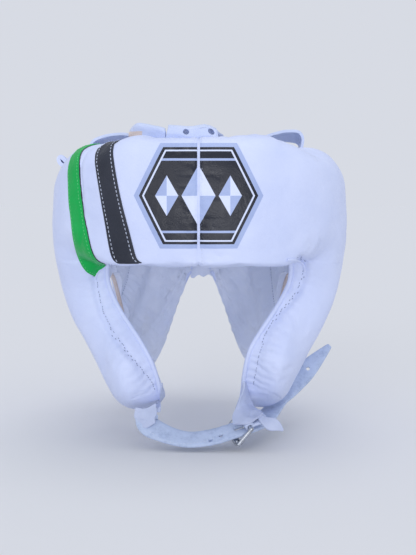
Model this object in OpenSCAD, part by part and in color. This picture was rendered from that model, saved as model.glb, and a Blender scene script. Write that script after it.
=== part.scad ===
// Open-face boxing headgear: padded leather shell, crown straps, rear closure and buckled chin strap.
// The wearer faces -Y, +X is the wearer's left, +Z is the crown.
// The origin is the centre of the head, midway between the ears.

/* [Head cavity] */
// Half width of the cavity at the temples
temple_half_width = 79; // [76:1:83]
// Reach of the cavity from the ears forward to the forehead
forehead_reach = 93; // [88:1:98]
// Reach of the cavity from the ears back to the occiput
nape_reach = 105; // [100:1:110]
// Squareness of the plan outline, where 2 is an ellipse
plan_power = 2.5; // [2.2:0.1:2.8]

/* [Padding] */
// Thickness of the forehead pad
forehead_pad = 27; // [22:1:30]
// Thickness of the temple and cheek pads
cheek_pad = 29; // [25:1:32]
// Thickness of the rear pads
rear_pad = 18; // [15:1:21]
// Radius that rounds the cheek and rear edges of the pads
edge_round = 24; // [18:1:27]
// Radius that rounds the top edge
top_round = 19; // [14:1:24]
// Radius that rounds the brow edge
brow_round = 9; // [7:1:14]
// Length over which the rear pads thin out towards the ear openings
rear_taper = 46; // [30:1:50]
// How far the foam swells towards the head
inner_puff = 2; // [1:0.5:3]

/* [Leather] */
// Thickness of the outer leather
cover_leather = 1.6; // [1.2:0.1:2]
// Thickness of the lining leather
lining_leather = 1.2; // [1:0.1:1.6]
// Thickness of the sewn stripes
stripe_leather = 1.2; // [1:0.1:1.6]
// Thickness of the crown and rear straps
strap_leather = 2.2; // [1.8:0.1:2.6]

/* [Outline] */
// Height of the brow edge of the forehead pad above the ears
brow_z = 27; // [22:1:32]
// Height of the top edge at the forehead
top_front_z = 108; // [104:1:112]
// Height of the top edge at the back
top_rear_z = 94; // [90:1:98]
// Angle from the front at which the cheek meets the brow
brow_corner = 46.5; // [45:0.5:48]
// Angle from the front of the seam behind the ear
ear_seam = 100; // [98:1:102]
// Angle by which the ear opening spreads each way from that seam
ear_spread = 14; // [10:1:16]
// Top of the ear opening
ear_top_z = 10; // [4:1:12]
// Bottom of the ear opening
ear_low_z = -40; // [-42:1:-36]
// Angle from the front at which the rear pads stop beside the back gap
rear_edge = 175; // [173:0.5:176]

/* [Chin strap] */
// Width of the chin strap
chin_width = 16; // [14:1:20]
// Thickness of the chin strap
chin_leather = 2.4; // [2:0.1:2.8]
// How far the strap leans its inner face to the front
chin_lean = 26; // [22:1:36]
// Diameter of the punched holes
hole_d = 4; // [3:0.5:4.5]

/* [Buckle] */
// Diameter of the buckle's wire
wire_d = 3; // [2.6:0.1:3.2]
// Outer diameter of the roller
roller_d = 5; // [4.6:0.1:5.4]
// Distance between the roller bar and the heel bar
buckle_length = 14; // [13:0.5:16]
// Running clearance of the roller and the prong on their bars
run_gap = 0.06; // [0.03:0.01:0.09]

/* [Hidden] */
white = "whitesmoke";
lining_white = "lightsteelblue";

// Rows run from the top edge to the brow, then to the lower edge.
upper_rows = 8;
lower_rows = 10;
row_count = upper_rows + lower_rows;
// Columns of a side pad, as shares of the way from its front edge to the ear seam, and of a rear pad.
side_shares = [0, 0.03, 0.11, 0.27, 0.47, 0.67, 0.84, 0.95, 1];
side_columns = len(side_shares) - 1;
rear_columns = 8;

// Profiles of the cavity by height, as shares of its half width and reaches.
front_width = [
  [-90, 0.39], [-60, 0.52], [-30, 0.72], [0, 0.92], [30, 0.98], [60, 1], [90, 0.965], [120, 0.86]
];
rear_width = [[-60, 0.68], [-30, 0.78], [0, 0.85], [40, 0.89], [80, 0.86], [120, 0.72]];
front_length = [
  [-90, 0.74], [-60, 0.82], [-30, 0.88], [0, 0.945], [30, 0.99], [60, 1], [90, 0.96], [120, 0.84]
];
rear_length = [[-60, 0.80], [-30, 0.90], [0, 0.965], [40, 1], [80, 0.965], [120, 0.80]];
// Angle of the face opening's edge by height, and the lower edges by share of width or by angle.
face_edge = [[-80, 27], [-64, 26], [-46, 28.5], [-32, 34.5], [-11, 46], [10, 51.2], [27, brow_corner]];
cheek_low = [[0, -74], [0.22, -83], [0.5, -78], [1, -51]];
rear_low = [[90, -50], [125, -64], [148, -62], [162, -38], [176, 8]];
// Angles of the first columns on the forehead at the top and at the brow. Two more lead to the side seam.
forehead_top_columns = [0, 13, 26, 33.5];
forehead_brow_columns = [0, 9, 18.2, 25.8];
forehead_columns = len(forehead_top_columns) + 1;
// Angle of the seam between the forehead and the side panel, by row from the top to the brow corner.
side_seam = [[0, 43.5], [2, 41.5], [4, 38.3], [5, 38], [6, 39.5], [7, 43.5], [8, brow_corner]];

// Fold line on which the chin strap swings: it runs along X at this Y and Z.
fold_y = -70.5;
fold_z = -81;
fold_gap = 1;
// Chin strap from its right end over the chin and through the buckle to the free tip, as
// [share of the path, [x, y, z, lean]].
chin_path = [
  [0, [-37, fold_y, fold_z - fold_gap, 90]],
  [0.05, [-37, fold_y - 1.5, fold_z - 7, 66]],
  [0.15, [-27, -75, -94, chin_lean + 12]],
  [0.26, [-9, -78, -98.5, chin_lean]],
  [0.36, [8, -78, -97, chin_lean]],
  [0.46, [24, -77, -92.5, chin_lean]],
  [0.54, [36.5, -70, -90, chin_lean]],
  [0.62, [46, -50, -90.5, chin_lean + 6]],
  [0.71, [54, -27, -88.5, chin_lean + 12]],
  [0.80, [63, -8, -82, chin_lean + 26]],
  [0.90, [80, 2, -66.5, chin_lean + 42]],
  [1, [101, 9, -46, chin_lean + 44]]
];
buckle_share = 0.485;
chin_stations = 44;

// Curves and blends
function clamp01(t) = min(1, max(0, t));
function ease(t) = let (c = clamp01(t)) c * c * (3 - 2 * c);
function mix(a, b, t) = a + (b - a) * t;
function quarter(t) = sqrt(1 - pow(1 - clamp01(t), 2));
function unit(v) = v / norm(v);
function across(v, t) = unit(v - (v * t) * t);
function rise(rows, k) = (rows[k + 1][1] - rows[k][1]) / (rows[k + 1][0] - rows[k][0]);
function slope(rows, k) =
  k == 0 ? rise(rows, 0) : k == len(rows) - 1 ? rise(rows, k - 1) : (rise(rows, k - 1) + rise(rows, k)) / 2;
function span(rows, x, k = 0) = k >= len(rows) - 2 || x < rows[k + 1][0] ? k : span(rows, x, k + 1);
// Smooth curve through [key, value] rows, whose values may be points.
function curve(rows, x) =
  let (k = span(rows, x), h = rows[k + 1][0] - rows[k][0], t = (x - rows[k][0]) / h, t2 = t * t, t3 = t2 * t)
  (2 * t3 - 3 * t2 + 1) * rows[k][1] + (t3 - 2 * t2 + t) * h * slope(rows, k)
  + (3 * t2 - 2 * t3) * rows[k + 1][1] + (t3 - t2) * h * slope(rows, k + 1);

// The head cavity, by angle from the front and by height
function head_radius(phi, z) =
  let (
    a = temple_half_width * mix(curve(front_width, z), curve(rear_width, z), ease((phi - 60) / 70)),
    b = phi < 90 ? forehead_reach * curve(front_length, z) : nape_reach * curve(rear_length, z)
  )
  pow(pow(abs(sin(phi)) / a, plan_power) + pow(abs(cos(phi)) / b, plan_power), -1 / plan_power);
function head_point(phi, z) = let (r = head_radius(phi, z)) [r * sin(phi), -r * cos(phi), z];
function head_normal(phi, z) =
  let (
    around = head_point(phi + 1, z) - head_point(phi - 1, z),
    upward = head_point(phi, z + 1) - head_point(phi, z - 1)
  )
  unit(cross(around, upward));
function arc_mm(phi_a, phi_b, z) = (phi_b - phi_a) * PI / 180 * head_radius((phi_a + phi_b) / 2, z);
function pad_mm(phi) =
  mix(mix(forehead_pad, cheek_pad, ease((phi - 20) / 45)), rear_pad, ease((phi - 85) / 50));
function top_z(phi) = mix(top_front_z, top_rear_z, ease((phi - 22) / 100));

// A place on the shell is [angle, height, fullness of the padding there].
function row_z(j, top, middle, low) =
  j <= upper_rows ? mix(top, middle, (1 - cos(180 * j / upper_rows)) / 2)
  : mix(middle, low, sin(90 * (j - upper_rows) / lower_rows));
function in_ear(z) =
  z > ear_top_z || z < ear_low_z ? 0
  : pow(max(0, sin(180 * (ear_top_z - z) / (ear_top_z - ear_low_z))), 0.35);
// The brow edge is crisp over the nose and rounds off towards the cheeks.
function face_round(phi) = mix(brow_round, edge_round, ease((phi - 24) / 24));
// Fullness beside the seam behind the ear: part full where sewn, empty round the ear.
function seam_fullness(swell, z) =
  let (sewn = 0.62 * ease(max(z - ear_top_z - 5, ear_low_z - 5 - z) / 18)) sewn + (1 - sewn) * swell;

function forehead_place(i, j) =
  let (
    share = (1 - cos(180 * j / upper_rows)) / 2,
    last = len(forehead_top_columns) - 1,
    column = mix(forehead_top_columns[min(i, last)], forehead_brow_columns[min(i, last)], share),
    phi = mix(column, curve(side_seam, j), max(0, i - last) / 2),
    z = row_z(j, top_z(phi), brow_z, brow_z)
  )
  [phi, z, quarter((top_z(phi) - z) / top_round) * quarter((z - brow_z) / face_round(phi))];

function side_place(i, j) =
  let (
    s = side_shares[i],
    front_z = row_z(j, top_z(brow_corner), brow_z, curve(cheek_low, 0)),
    back_z = row_z(j, top_z(ear_seam), brow_z, curve(cheek_low, 1)),
    front = j <= upper_rows ? curve(side_seam, j) : curve(face_edge, front_z),
    steady = j <= upper_rows ? mix(42, brow_corner, ease(j / upper_rows)) : front,
    back = ear_seam - ear_spread * in_ear(back_z),
    phi = mix(steady, back, s) + (front - steady) * pow(1 - s, 3),
    z = row_z(j, top_z(phi), brow_z, curve(cheek_low, s)),
    from_corner = max(0, arc_mm(brow_corner, phi, z)),
    from_face = j <= upper_rows ? norm([from_corner, z - brow_z]) : arc_mm(front, phi, z),
    full = quarter((top_z(phi) - z) / top_round) * quarter(from_face / face_round(max(phi, front)))
      * quarter((z - curve(cheek_low, s)) / edge_round)
      * seam_fullness(quarter(arc_mm(phi, back, z) / edge_round), back_z)
  )
  [phi, z, full];

function rear_place(i, j) =
  let (
    s = (1 - cos(180 * i / rear_columns)) / 2,
    front_z = row_z(j, top_z(ear_seam), brow_z, curve(cheek_low, 1)),
    front = ear_seam + ear_spread * in_ear(front_z),
    phi = mix(front, rear_edge, s),
    low = mix(curve(cheek_low, 1), curve(rear_low, phi), ease(s * 3)),
    z = row_z(j, top_z(phi), mix(brow_z, 50, s), low),
    full = quarter((top_z(phi) - z) / top_round) * quarter((z - low) / edge_round)
      * seam_fullness(ease(arc_mm(front, phi, z) / rear_taper), front_z)
      * quarter(arc_mm(phi, rear_edge, z) / edge_round)
  )
  [phi, z, full];

// Layers through the shell, from the head outwards
lining_face = 0;
foam_face = 1;
foam_back = 2;
cover_face = 3;
function layer_mm(place, layer) =
  let (inner = -inner_puff * place[2], outer = inner + (pad_mm(place[0]) + inner_puff) * place[2])
  [inner - lining_leather, inner, outer, outer + cover_leather][layer];
// Point of the shell at a place and layer, on the left (side 1) or the right (side -1).
function shell_point(place, layer, side, lift = 0) =
  let (p = head_point(place[0], place[1]) + (layer_mm(place, layer) + lift) * head_normal(place[0], place[1]))
  [side * p.x, p.y, p.z];

function forehead_places(from = 0, to = forehead_columns, first = 0, last = upper_rows) =
  [for (i = [from:to]) [for (j = [first:last]) forehead_place(i, j)]];
function side_places(from = 0, to = side_columns, first = 0, last = row_count) =
  [for (i = [from:to]) [for (j = [first:last]) side_place(i, j)]];
function rear_places(from = 0, to = rear_columns, first = 0, last = row_count) =
  [for (i = [from:to]) [for (j = [first:last]) rear_place(i, j)]];
function grid(places, layer, side, lift = 0) =
  [for (column = places) [for (place = column) shell_point(place, layer, side, lift)]];
// The forehead from ear seam to ear seam: the right half runs back to the centre, then the left half follows.
function forehead_grid(layer, columns, first, last) =
  concat(
    [for (i = [columns:-1:1]) [for (j = [first:last]) shell_point(forehead_place(i, j), layer, -1)]],
    [for (i = [0:columns]) [for (j = [first:last]) shell_point(forehead_place(i, j), layer, 1)]]
  );

// Closed slab between an outer and an inner grid of points. keep says which cells it has, and
// turned which cells are split along the other diagonal. side -1 turns a mirrored slab right side out.
module slab(outer, inner, side = 1, keep = function(i, j) true, turned = function(i, j) false) {
  columns = len(outer);
  rows = len(outer[0]);
  function has(i, j) = i >= 0 && j >= 0 && i < columns - 1 && j < rows - 1 && keep(i, j);
  function out(i, j) = i * rows + j;
  function inn(i, j) = columns * rows + i * rows + j;
  function wall(p, q) =
    let (shift = columns * rows)
    p < q ? [[q, p, q + shift], [p, p + shift, q + shift]] : [[q, p, p + shift], [q, p + shift, q + shift]];
  function cell(a, b, c, d, turn) = turn ? [[a, b, d], [b, c, d]] : [[a, b, c], [a, c, d]];
  cells = [for (i = [0:columns - 2]) for (j = [0:rows - 2]) if (has(i, j)) [i, j]];
  faces = [
    for (k = cells)
      let (i = k[0], j = k[1], turn = turned(i, j))
      each concat(
        cell(out(i, j), out(i + 1, j), out(i + 1, j + 1), out(i, j + 1), turn),
        [for (f = cell(inn(i, j), inn(i + 1, j), inn(i + 1, j + 1), inn(i, j + 1), turn)) [f[2], f[1], f[0]]],
        has(i, j - 1) ? [] : wall(out(i, j), out(i + 1, j)),
        has(i + 1, j) ? [] : wall(out(i + 1, j), out(i + 1, j + 1)),
        has(i, j + 1) ? [] : wall(out(i + 1, j + 1), out(i, j + 1)),
        has(i - 1, j) ? [] : wall(out(i, j + 1), out(i, j))
      )
  ];
  polyhedron(
    points = concat([for (column = outer) each column], [for (column = inner) each column]),
    faces = side > 0 ? faces : [for (f = faces) [f[2], f[1], f[0]]]
  );
}
module layer_slab(places, outer, inner, side) {
  slab(grid(places, outer, side), grid(places, inner, side), side);
}

// Padded shell
module forehead_cover_right() {
  color(white) layer_slab(forehead_places(), cover_face, foam_back, -1);
}
module side_cover_right() {
  color(white) layer_slab(side_places(), cover_face, foam_back, -1);
}
// One piece of leather from the centre seam over the left temple and cheek.
module front_side_cover_left() {
  function place(i, j) =
    i < forehead_columns ? forehead_place(i, min(j, upper_rows)) : side_place(i - forehead_columns, j);
  places = [for (i = [0:forehead_columns + side_columns]) [for (j = [0:row_count]) place(i, j)]];
  color(white)
    slab(
      grid(places, cover_face, 1), grid(places, foam_back, 1),
      keep = function(i, j) i >= forehead_columns || j < upper_rows
    );
}
module forehead_foam() {
  color("khaki")
    slab(
      forehead_grid(foam_back, forehead_columns, 1, upper_rows - 1),
      forehead_grid(foam_face, forehead_columns, 1, upper_rows - 1),
      turned = function(i, j) i < forehead_columns
    );
}
module forehead_lining() {
  color(lining_white)
    slab(
      forehead_grid(foam_face, forehead_columns, 0, upper_rows),
      forehead_grid(lining_face, forehead_columns, 0, upper_rows),
      turned = function(i, j) i < forehead_columns
    );
}
module cheek_foam(side) {
  color("khaki") layer_slab(side_places(1, side_columns - 1, 1, row_count - 1), foam_back, foam_face, side);
}
module cheek_lining(side) {
  color(lining_white) layer_slab(side_places(), foam_face, lining_face, side);
}
module rear_cover(side) {
  color(white) layer_slab(rear_places(), cover_face, foam_back, side);
}
module rear_foam(side) {
  color("khaki") layer_slab(rear_places(1, rear_columns - 1, 1, row_count - 1), foam_back, foam_face, side);
}
module rear_lining(side) {
  color(lining_white) layer_slab(rear_places(), foam_face, lining_face, side);
}

// Stripes sewn on the right side
module stripe(places, keep = function(i, j) true) {
  slab(grid(places, cover_face, -1, stripe_leather), grid(places, cover_face, -1), -1, keep);
}
// It narrows as it turns in to the brow corner.
module green_stripe() {
  color("limegreen")
    stripe(side_places(0, 2, 0, upper_rows), function(i, j) i == 0 || j < upper_rows - 1);
}
module black_stripe() {
  color([0.15, 0.15, 0.17]) stripe(forehead_places(2, 3));
}

// Ribbon of leather along stations [centre, width direction, face normal], each with its own half width.
module ribbon(stations, half_widths, thickness) {
  function edge(k, way, up) =
    stations[k][0] + way * half_widths[k] * stations[k][1] + up * thickness / 2 * stations[k][2];
  last = len(stations) - 1;
  slab(
    [for (way = [1, -1]) [for (k = [0:last]) edge(k, way, 1)]],
    [for (way = [1, -1]) [for (k = [0:last]) edge(k, way, -1)]]
  );
}
// Crown straps
// Strap from the inside of the forehead over the crown to the back, with two lace holes in its front fold.
long_path = [
  [-83, 112], [-82, 118.5], [-77, 121], [-66, 117], [-48, 110],
  [-32, 106.2], [10, 106.2], [42, 106.2], [64, 103.5], [80, 99]
];
long_half_widths = [17.5, 17, 17, 17, 16.5, 16, 16, 15, 12, 8.5];
function path_normal(path, k) =
  let (a = path[max(0, k - 1)], b = path[min(len(path) - 1, k + 1)], d = b - a) [-d[1], d[0]] / norm(d);
function forehead_inner(i, j, drop) =
  shell_point(forehead_place(abs(i), j), lining_face, i < 0 ? -1 : 1, -drop);
function web_inner(phi, j, drop) =
  shell_point([phi, rear_place(rear_columns, j)[1], 0], foam_face, 1, -drop);
function long_points(drop) =
  [
    for (w = [-1, 0, 1])
      concat(
        [for (j = [3:-1:0]) forehead_inner(w, j, drop)],
        [
          for (k = [0:len(long_path) - 1])
            let (n = path_normal(long_path, k))
            [w * long_half_widths[k], long_path[k][0] - drop * n[0], long_path[k][1] - drop * n[1]]
        ],
        [for (j = [1:1:3]) web_inner(180 - w * (180 - rear_edge) * 0.9, j, drop)]
      )
  ];
module crown_strap_long() {
  color(white)
    difference() {
      slab(long_points(0), long_points(strap_leather), -1);
      for (x = [-9, 9])
        translate([x, -90, 115.5]) rotate([-90, 0, 0]) cylinder(d = hole_d, h = 12, $fn = 32);
    }
}
// Strap from temple to temple, over the long one.
cross_path = [[73.5, 108], [74.5, 115], [70, 120], [60, 119], [44, 113], [20, 108.4], [0, 108.4]];
function cross_end(i, j, side, drop) = shell_point(side_place(i, j), lining_face, side, -drop - 0.2);
function cross_points(drop) =
  [
    for (i = [4:6])
      let (y = shell_point(side_place(i, 0), lining_face, 1).y, last = len(cross_path) - 1)
      concat(
        [for (j = [3:-1:0]) cross_end(i, j, 1, drop)],
        [
          for (k = [0:last])
            let (n = k == last ? [0, 1] : -path_normal(cross_path, k))
            [cross_path[k][0] - drop * n[0], y, cross_path[k][1] - drop * n[1]]
        ],
        [
          for (k = [last - 1:-1:0])
            let (n = -path_normal(cross_path, k))
            [-cross_path[k][0] + drop * n[0], y, cross_path[k][1] - drop * n[1]]
        ],
        [for (j = [0:3]) cross_end(i, j, -1, drop)]
      )
  ];
module crown_strap_cross() {
  color(white) slab(cross_points(0), cross_points(strap_leather), -1);
}
// Short folded tab beside the front of the long strap.
tab_path = [[-84, 110], [-83, 117], [-79, 121.5], [-72, 121], [-66, 116]];
module crown_lace_tab() {
  function points(drop) =
    [
      for (share = [0.95, 0.12])
        concat(
          [
            for (j = [2:-1:0])
              mix(forehead_inner(-1, j, drop + 0.3), forehead_inner(-2, j, drop + 0.3), share)
          ],
          [
            for (k = [0:len(tab_path) - 1])
              let (n = path_normal(tab_path, k))
              [mix(-19.5, -37, share), tab_path[k][0] - drop * n[0] + 2, tab_path[k][1] - drop * n[1]]
          ]
        )
    ];
  color(white) slab(points(0), points(1.8), -1);
}

// Rear closure
// Thin web that joins the rear pads across the back gap.
web_columns = 4;
module rear_web() {
  function point(k, j, lift) =
    let (phi = mix(rear_edge, 360 - rear_edge, k / web_columns))
    shell_point([phi, rear_place(rear_columns, j)[1], 0], foam_face, 1, lift);
  color(lining_white)
    slab(
      [for (k = [0:web_columns]) [for (j = [1:row_count - 2]) point(k, j, cover_leather)]],
      [for (k = [0:web_columns]) [for (j = [1:row_count - 2]) point(k, j, 0)]]
    );
}
rear_row_first = 4;
rear_row_last = 9;
// Leather root of the rear strap, sewn to the right pad.
module rear_strap_anchor() {
  places = rear_places(3, 4, rear_row_first, rear_row_last);
  color(white) slab(grid(places, cover_face, -1, strap_leather), grid(places, cover_face, -1), -1);
}
// The strap runs round the back from its tip on the left to its root on the right.
function rear_strap_column(i, side, lift) =
  [for (j = [rear_row_first:rear_row_last]) shell_point(rear_place(i, j), cover_face, side, lift)];
function rear_strap_points(lift) =
  concat(
    [for (i = [3:6]) rear_strap_column(i, 1, lift + 2.6)],
    [for (i = [6:-1:5]) rear_strap_column(i, -1, lift + 1.6)],
    [mix(rear_strap_column(4, -1, lift), rear_strap_column(5, -1, lift + 1.6), 0.06)]
  );
module rear_strap() {
  color(white) slab(rear_strap_points(strap_leather), rear_strap_points(0));
}
module rear_hook_patch() {
  places = rear_places(3, 5, rear_row_first, rear_row_last);
  color("dimgray") slab(grid(places, cover_face, 1, 2.6), grid(places, cover_face, 1, 1.6));
}
module rear_loop_patch() {
  places = rear_places(3, 5, rear_row_first, rear_row_last);
  color("gray") slab(grid(places, cover_face, 1, 1.2), grid(places, cover_face, 1));
}

// Chin strap
function chin_at(u) = curve(chin_path, u);
function chin_point(u) = let (p = chin_at(u)) [p[0], p[1], p[2]];
function chin_along(u) = unit(chin_point(min(1, u + 0.004)) - chin_point(max(0, u - 0.004)));
function chin_normal(u) =
  let (t = chin_along(u), inward = unit([-t.z, 0, t.x]), lean = chin_at(u)[3])
  across(cos(lean) * inward + sin(lean) * [0, -1, 0], t);
function chin_station(u) = let (t = chin_along(u), n = chin_normal(u)) [chin_point(u), cross(t, n), n];
// The tail narrows to a blunt point.
function chin_half(u) = chin_width / 2 * mix(1, 0.24, pow(clamp01((u - 0.9) / 0.1), 1.4));

buckle_at = chin_point(buckle_share);
buckle_t = chin_along(buckle_share);
buckle_n = chin_normal(buckle_share);
buckle_side = cross(buckle_n, buckle_t);
// Moves a part from the buckle's own place (X along the strap, Z to the chin) to the strap.
module at_buckle() {
  translate(buckle_at)
    rotate([atan2(buckle_side.z, buckle_n.z), -asin(buckle_t.z), atan2(buckle_t.y, buckle_t.x)])
      children();
}
function buckle_world(p) = buckle_at + p.x * buckle_t + p.y * buckle_side + p.z * buckle_n;
tab_leather = 1.6;
loop_r = wire_d / 2 + run_gap;
roller_offset = roller_d / 2 + chin_leather / 2 + 1;
heel_offset = loop_r + tab_leather + chin_leather / 2 + 0.4;
buckle_tilt = asin((roller_offset + heel_offset) / buckle_length);
bar_reach = buckle_length / 2 * cos(buckle_tilt);
frame_half = chin_width / 2 + 2.2;
roller_place = [-bar_reach, 0, -roller_offset];
heel_place = [bar_reach, 0, heel_offset];
heel_world = buckle_world(heel_place);

module chin_strap() {
  us = [for (k = [0:chin_stations]) k / chin_stations];
  color(white)
    difference() {
      ribbon([for (u = us) chin_station(u)], [for (u = us) chin_half(u)], chin_leather);
      at_buckle() {
        translate([-2.5, -1.6, -4]) cube([10, 3.2, 8]);
        translate([-2.5, 0, -4]) cylinder(d = 3.2, h = 8, $fn = 32);
        translate([7.5, 0, -4]) cylinder(d = 3.2, h = 8, $fn = 32);
        translate([-14, 0, -4]) cylinder(d = hole_d - 1, h = 8, $fn = 32);
        translate([-22, 0, -4]) cylinder(d = hole_d - 1, h = 8, $fn = 32);
      }
    }
}
// Leather tabs sewn inside the front edges of the cheeks. Each spreads from a point on that edge
// to a base that runs from base_a, beside the face opening, to base_b.
module anchor(side, first, base_a, base_b) {
  function sewn(i, j, drop) = shell_point(side_place(i, j), lining_face, side, -drop);
  steps = row_count - first + 2;
  function free_edge(k, drop) =
    mix(sewn(0, first, drop) + [-0.5 * side, 0, 0], base_a + [0, drop, 0], k / steps);
  function hang(i, base, drop) =
    let (from = sewn(i, row_count, drop), to = base + [0, drop, 0])
    concat([for (j = [first:row_count]) sewn(i, j, drop)], [mix(from, to, 0.4) - [0, 0, 3]], [to]);
  function points(drop) =
    [
      [for (k = [0:steps]) free_edge(k, drop)],
      hang(0, mix(base_a, base_b, 0.5), drop),
      hang(1, base_b, drop)
    ];
  color(white) slab(points(0), points(2), side);
}
module chin_anchor_right() {
  anchor(-1, 15, [-28, fold_y - 1, fold_z], [-46, fold_y - 1, fold_z]);
}
module chin_anchor_left() {
  anchor(
    1, 15,
    [20, fold_y + 1.5, fold_z - 1],
    buckle_world([bar_reach + 15, 10.4, heel_offset + 0.5])
  );
}
// Leather chape round the heel bar of the buckle, notched for the prong.
module buckle_tab() {
  half = chin_width / 2 - 0.4;
  color(white)
    at_buckle() translate(heel_place) difference() {
      union() {
        rotate([90, 0, 0]) cylinder(r = loop_r + tab_leather, h = 2 * half, center = true, $fn = 48);
        translate([loop_r + 0.2, -half, -tab_leather / 2]) cube([15 - loop_r, 2 * half, tab_leather]);
      }
      rotate([90, 0, 0]) cylinder(r = loop_r, h = 40, center = true, $fn = 48);
      translate([-6, -2.6, -6]) cube([10, 5.2, 12]);
    }
}
// Pointed leather tongue that lies on the chape and hangs over its front edge.
module tab_tongue() {
  function at(x, y, z) = buckle_world([bar_reach + x, y, heel_offset + z]);
  centres = [
    at(10, -2, 1.9), at(11, -9.5, 1.9), at(13, -14, -0.5), at(16, -17.5, -5.5), at(19, -19.5, -10.5)
  ];
  function station(k) =
    let (t = unit(centres[min(4, k + 1)] - centres[max(0, k - 1)]), w = across(buckle_t, t))
    [centres[k], w, cross(w, t)];
  color(white) ribbon([for (k = [0:4]) station(k)], [2.4, 3.4, 3.6, 2.8, 0.8], 1.6);
}
module bar(from, to) {
  d = to - from;
  translate(from)
    rotate([0, acos(d.z / norm(d)), atan2(d.y, d.x)])
      cylinder(d = wire_d, h = norm(d), $fn = 32);
}
module buckle_frame() {
  corners = [for (way = [-1, 1]) for (p = [roller_place, heel_place]) [p.x, way * frame_half, p.z]];
  color("silver")
    at_buckle() {
      for (p = corners) translate(p) sphere(d = wire_d, $fn = 32);
      bar(corners[0], corners[1]);
      bar(corners[2], corners[3]);
      bar(corners[0], corners[2]);
      bar(corners[1], corners[3]);
    }
}
module buckle_roller() {
  color("silver")
    at_buckle() translate(roller_place) rotate([90, 0, 0]) difference() {
      cylinder(d = roller_d, h = 2 * frame_half - wire_d - 1, center = true, $fn = 48);
      cylinder(r = wire_d / 2 + run_gap, h = 40, center = true, $fn = 48);
    }
}
// Prong that turns on the heel bar and rests on the roller.
module buckle_prong() {
  prong_d = 2;
  length = buckle_length + 1.6;
  drop = asin((roller_d / 2 + prong_d / 2 + 0.1 - 2.1) / buckle_length);
  color("silver")
    at_buckle() translate(heel_place) rotate([0, -buckle_tilt, 0]) difference() {
      union() {
        rotate([90, 0, 0]) cylinder(r = 2.9, h = 4, center = true, $fn = 48);
        translate([0, 0, -2.1]) rotate([0, -90 - drop, 0]) cylinder(d = prong_d, h = length, $fn = 32);
      }
      rotate([90, 0, 0]) cylinder(r = loop_r, h = 40, center = true, $fn = 48);
    }
}

forehead_cover_right();
side_cover_right();
front_side_cover_left();
forehead_foam();
cheek_foam(-1);  // cheek_foam_right
cheek_foam(1);  // cheek_foam_left
forehead_lining();
cheek_lining(-1);  // cheek_lining_right
cheek_lining(1);  // cheek_lining_left
rear_cover(-1);  // rear_cover_right
rear_cover(1);  // rear_cover_left
rear_foam(-1);  // rear_foam_right
rear_foam(1);  // rear_foam_left
rear_lining(-1);  // rear_lining_right
rear_lining(1);  // rear_lining_left
green_stripe();
black_stripe();
crown_strap_long();
crown_strap_cross();
crown_lace_tab();
rear_web();
rear_strap_anchor();
rear_strap();
rear_hook_patch();
rear_loop_patch();
chin_anchor_right();
chin_anchor_left();
chin_strap();
buckle_tab();
tab_tongue();
buckle_frame();
buckle_roller();
buckle_prong();
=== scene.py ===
import math

import bmesh
import bpy
import numpy as np
from mathutils import Matrix, Vector, noise
from mathutils.bvhtree import BVHTree
from mathutils.kdtree import KDTree


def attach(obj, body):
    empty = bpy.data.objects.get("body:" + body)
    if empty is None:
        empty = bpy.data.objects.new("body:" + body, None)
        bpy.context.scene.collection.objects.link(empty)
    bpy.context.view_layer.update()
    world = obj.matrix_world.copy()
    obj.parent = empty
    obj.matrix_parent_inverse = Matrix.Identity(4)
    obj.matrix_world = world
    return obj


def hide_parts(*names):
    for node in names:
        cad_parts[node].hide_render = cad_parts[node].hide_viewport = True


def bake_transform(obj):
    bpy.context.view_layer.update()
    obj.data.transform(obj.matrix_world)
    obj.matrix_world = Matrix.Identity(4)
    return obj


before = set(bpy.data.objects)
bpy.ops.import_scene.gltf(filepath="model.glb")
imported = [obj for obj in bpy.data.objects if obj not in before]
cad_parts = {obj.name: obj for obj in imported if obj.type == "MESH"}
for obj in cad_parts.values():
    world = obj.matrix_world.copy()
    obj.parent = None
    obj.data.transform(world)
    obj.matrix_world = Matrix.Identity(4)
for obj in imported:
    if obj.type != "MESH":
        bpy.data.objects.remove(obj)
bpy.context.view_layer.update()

MM = 0.001

# The head form that the leather is made over, in millimetres and degrees from the front.
TEMPLE_HALF_WIDTH, FOREHEAD_REACH, NAPE_REACH, PLAN_POWER = 79, 93, 105, 2.5
FOREHEAD_PAD, CHEEK_PAD, REAR_PAD = 26.6, 27.4, 17.5
EDGE_ROUND, TOP_ROUND, TEMPLE_ROUND, BROW_ROUND, REAR_TAPER = 24, 19, 29, 5.5, 46
COVER, LINING, INNER_PUFF, GLUE_LINE = 1.6, 1.2, 2, 0.1
BROW_Z, TOP_FRONT_Z, TOP_REAR_Z, REAR_MIDDLE_Z, DROP_FROM_Z = 27, 108, 94, 50, 70
PROUD, PROUD_AT, PROUD_SPREAD = 2.2, 24, 9
BROW_CORNER, EAR_SEAM, EAR_SPREAD, REAR_EDGE = 46.5, 100, 14, 175
EAR_TOP_Z, EAR_LOW_Z, SEWN_FULLNESS = 10, -40, 0.62
UPPER_ROWS, LOWER_ROWS = 8, 10
ROWS = UPPER_ROWS + LOWER_ROWS
FRONT_WIDTH = [(-90, .39), (-60, .525), (-30, .70), (0, .89), (30, .98), (60, 1), (90, .965), (120, .86)]
REAR_WIDTH = [(-60, .68), (-30, .78), (0, .85), (40, .89), (80, .86), (120, .72)]
FRONT_LENGTH = [(-90, .74), (-60, .82), (-30, .88), (0, .945), (30, .99), (60, 1), (90, .96), (120, .84)]
REAR_LENGTH = [(-60, .80), (-30, .90), (0, .965), (40, 1), (80, .965), (120, .80)]
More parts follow.
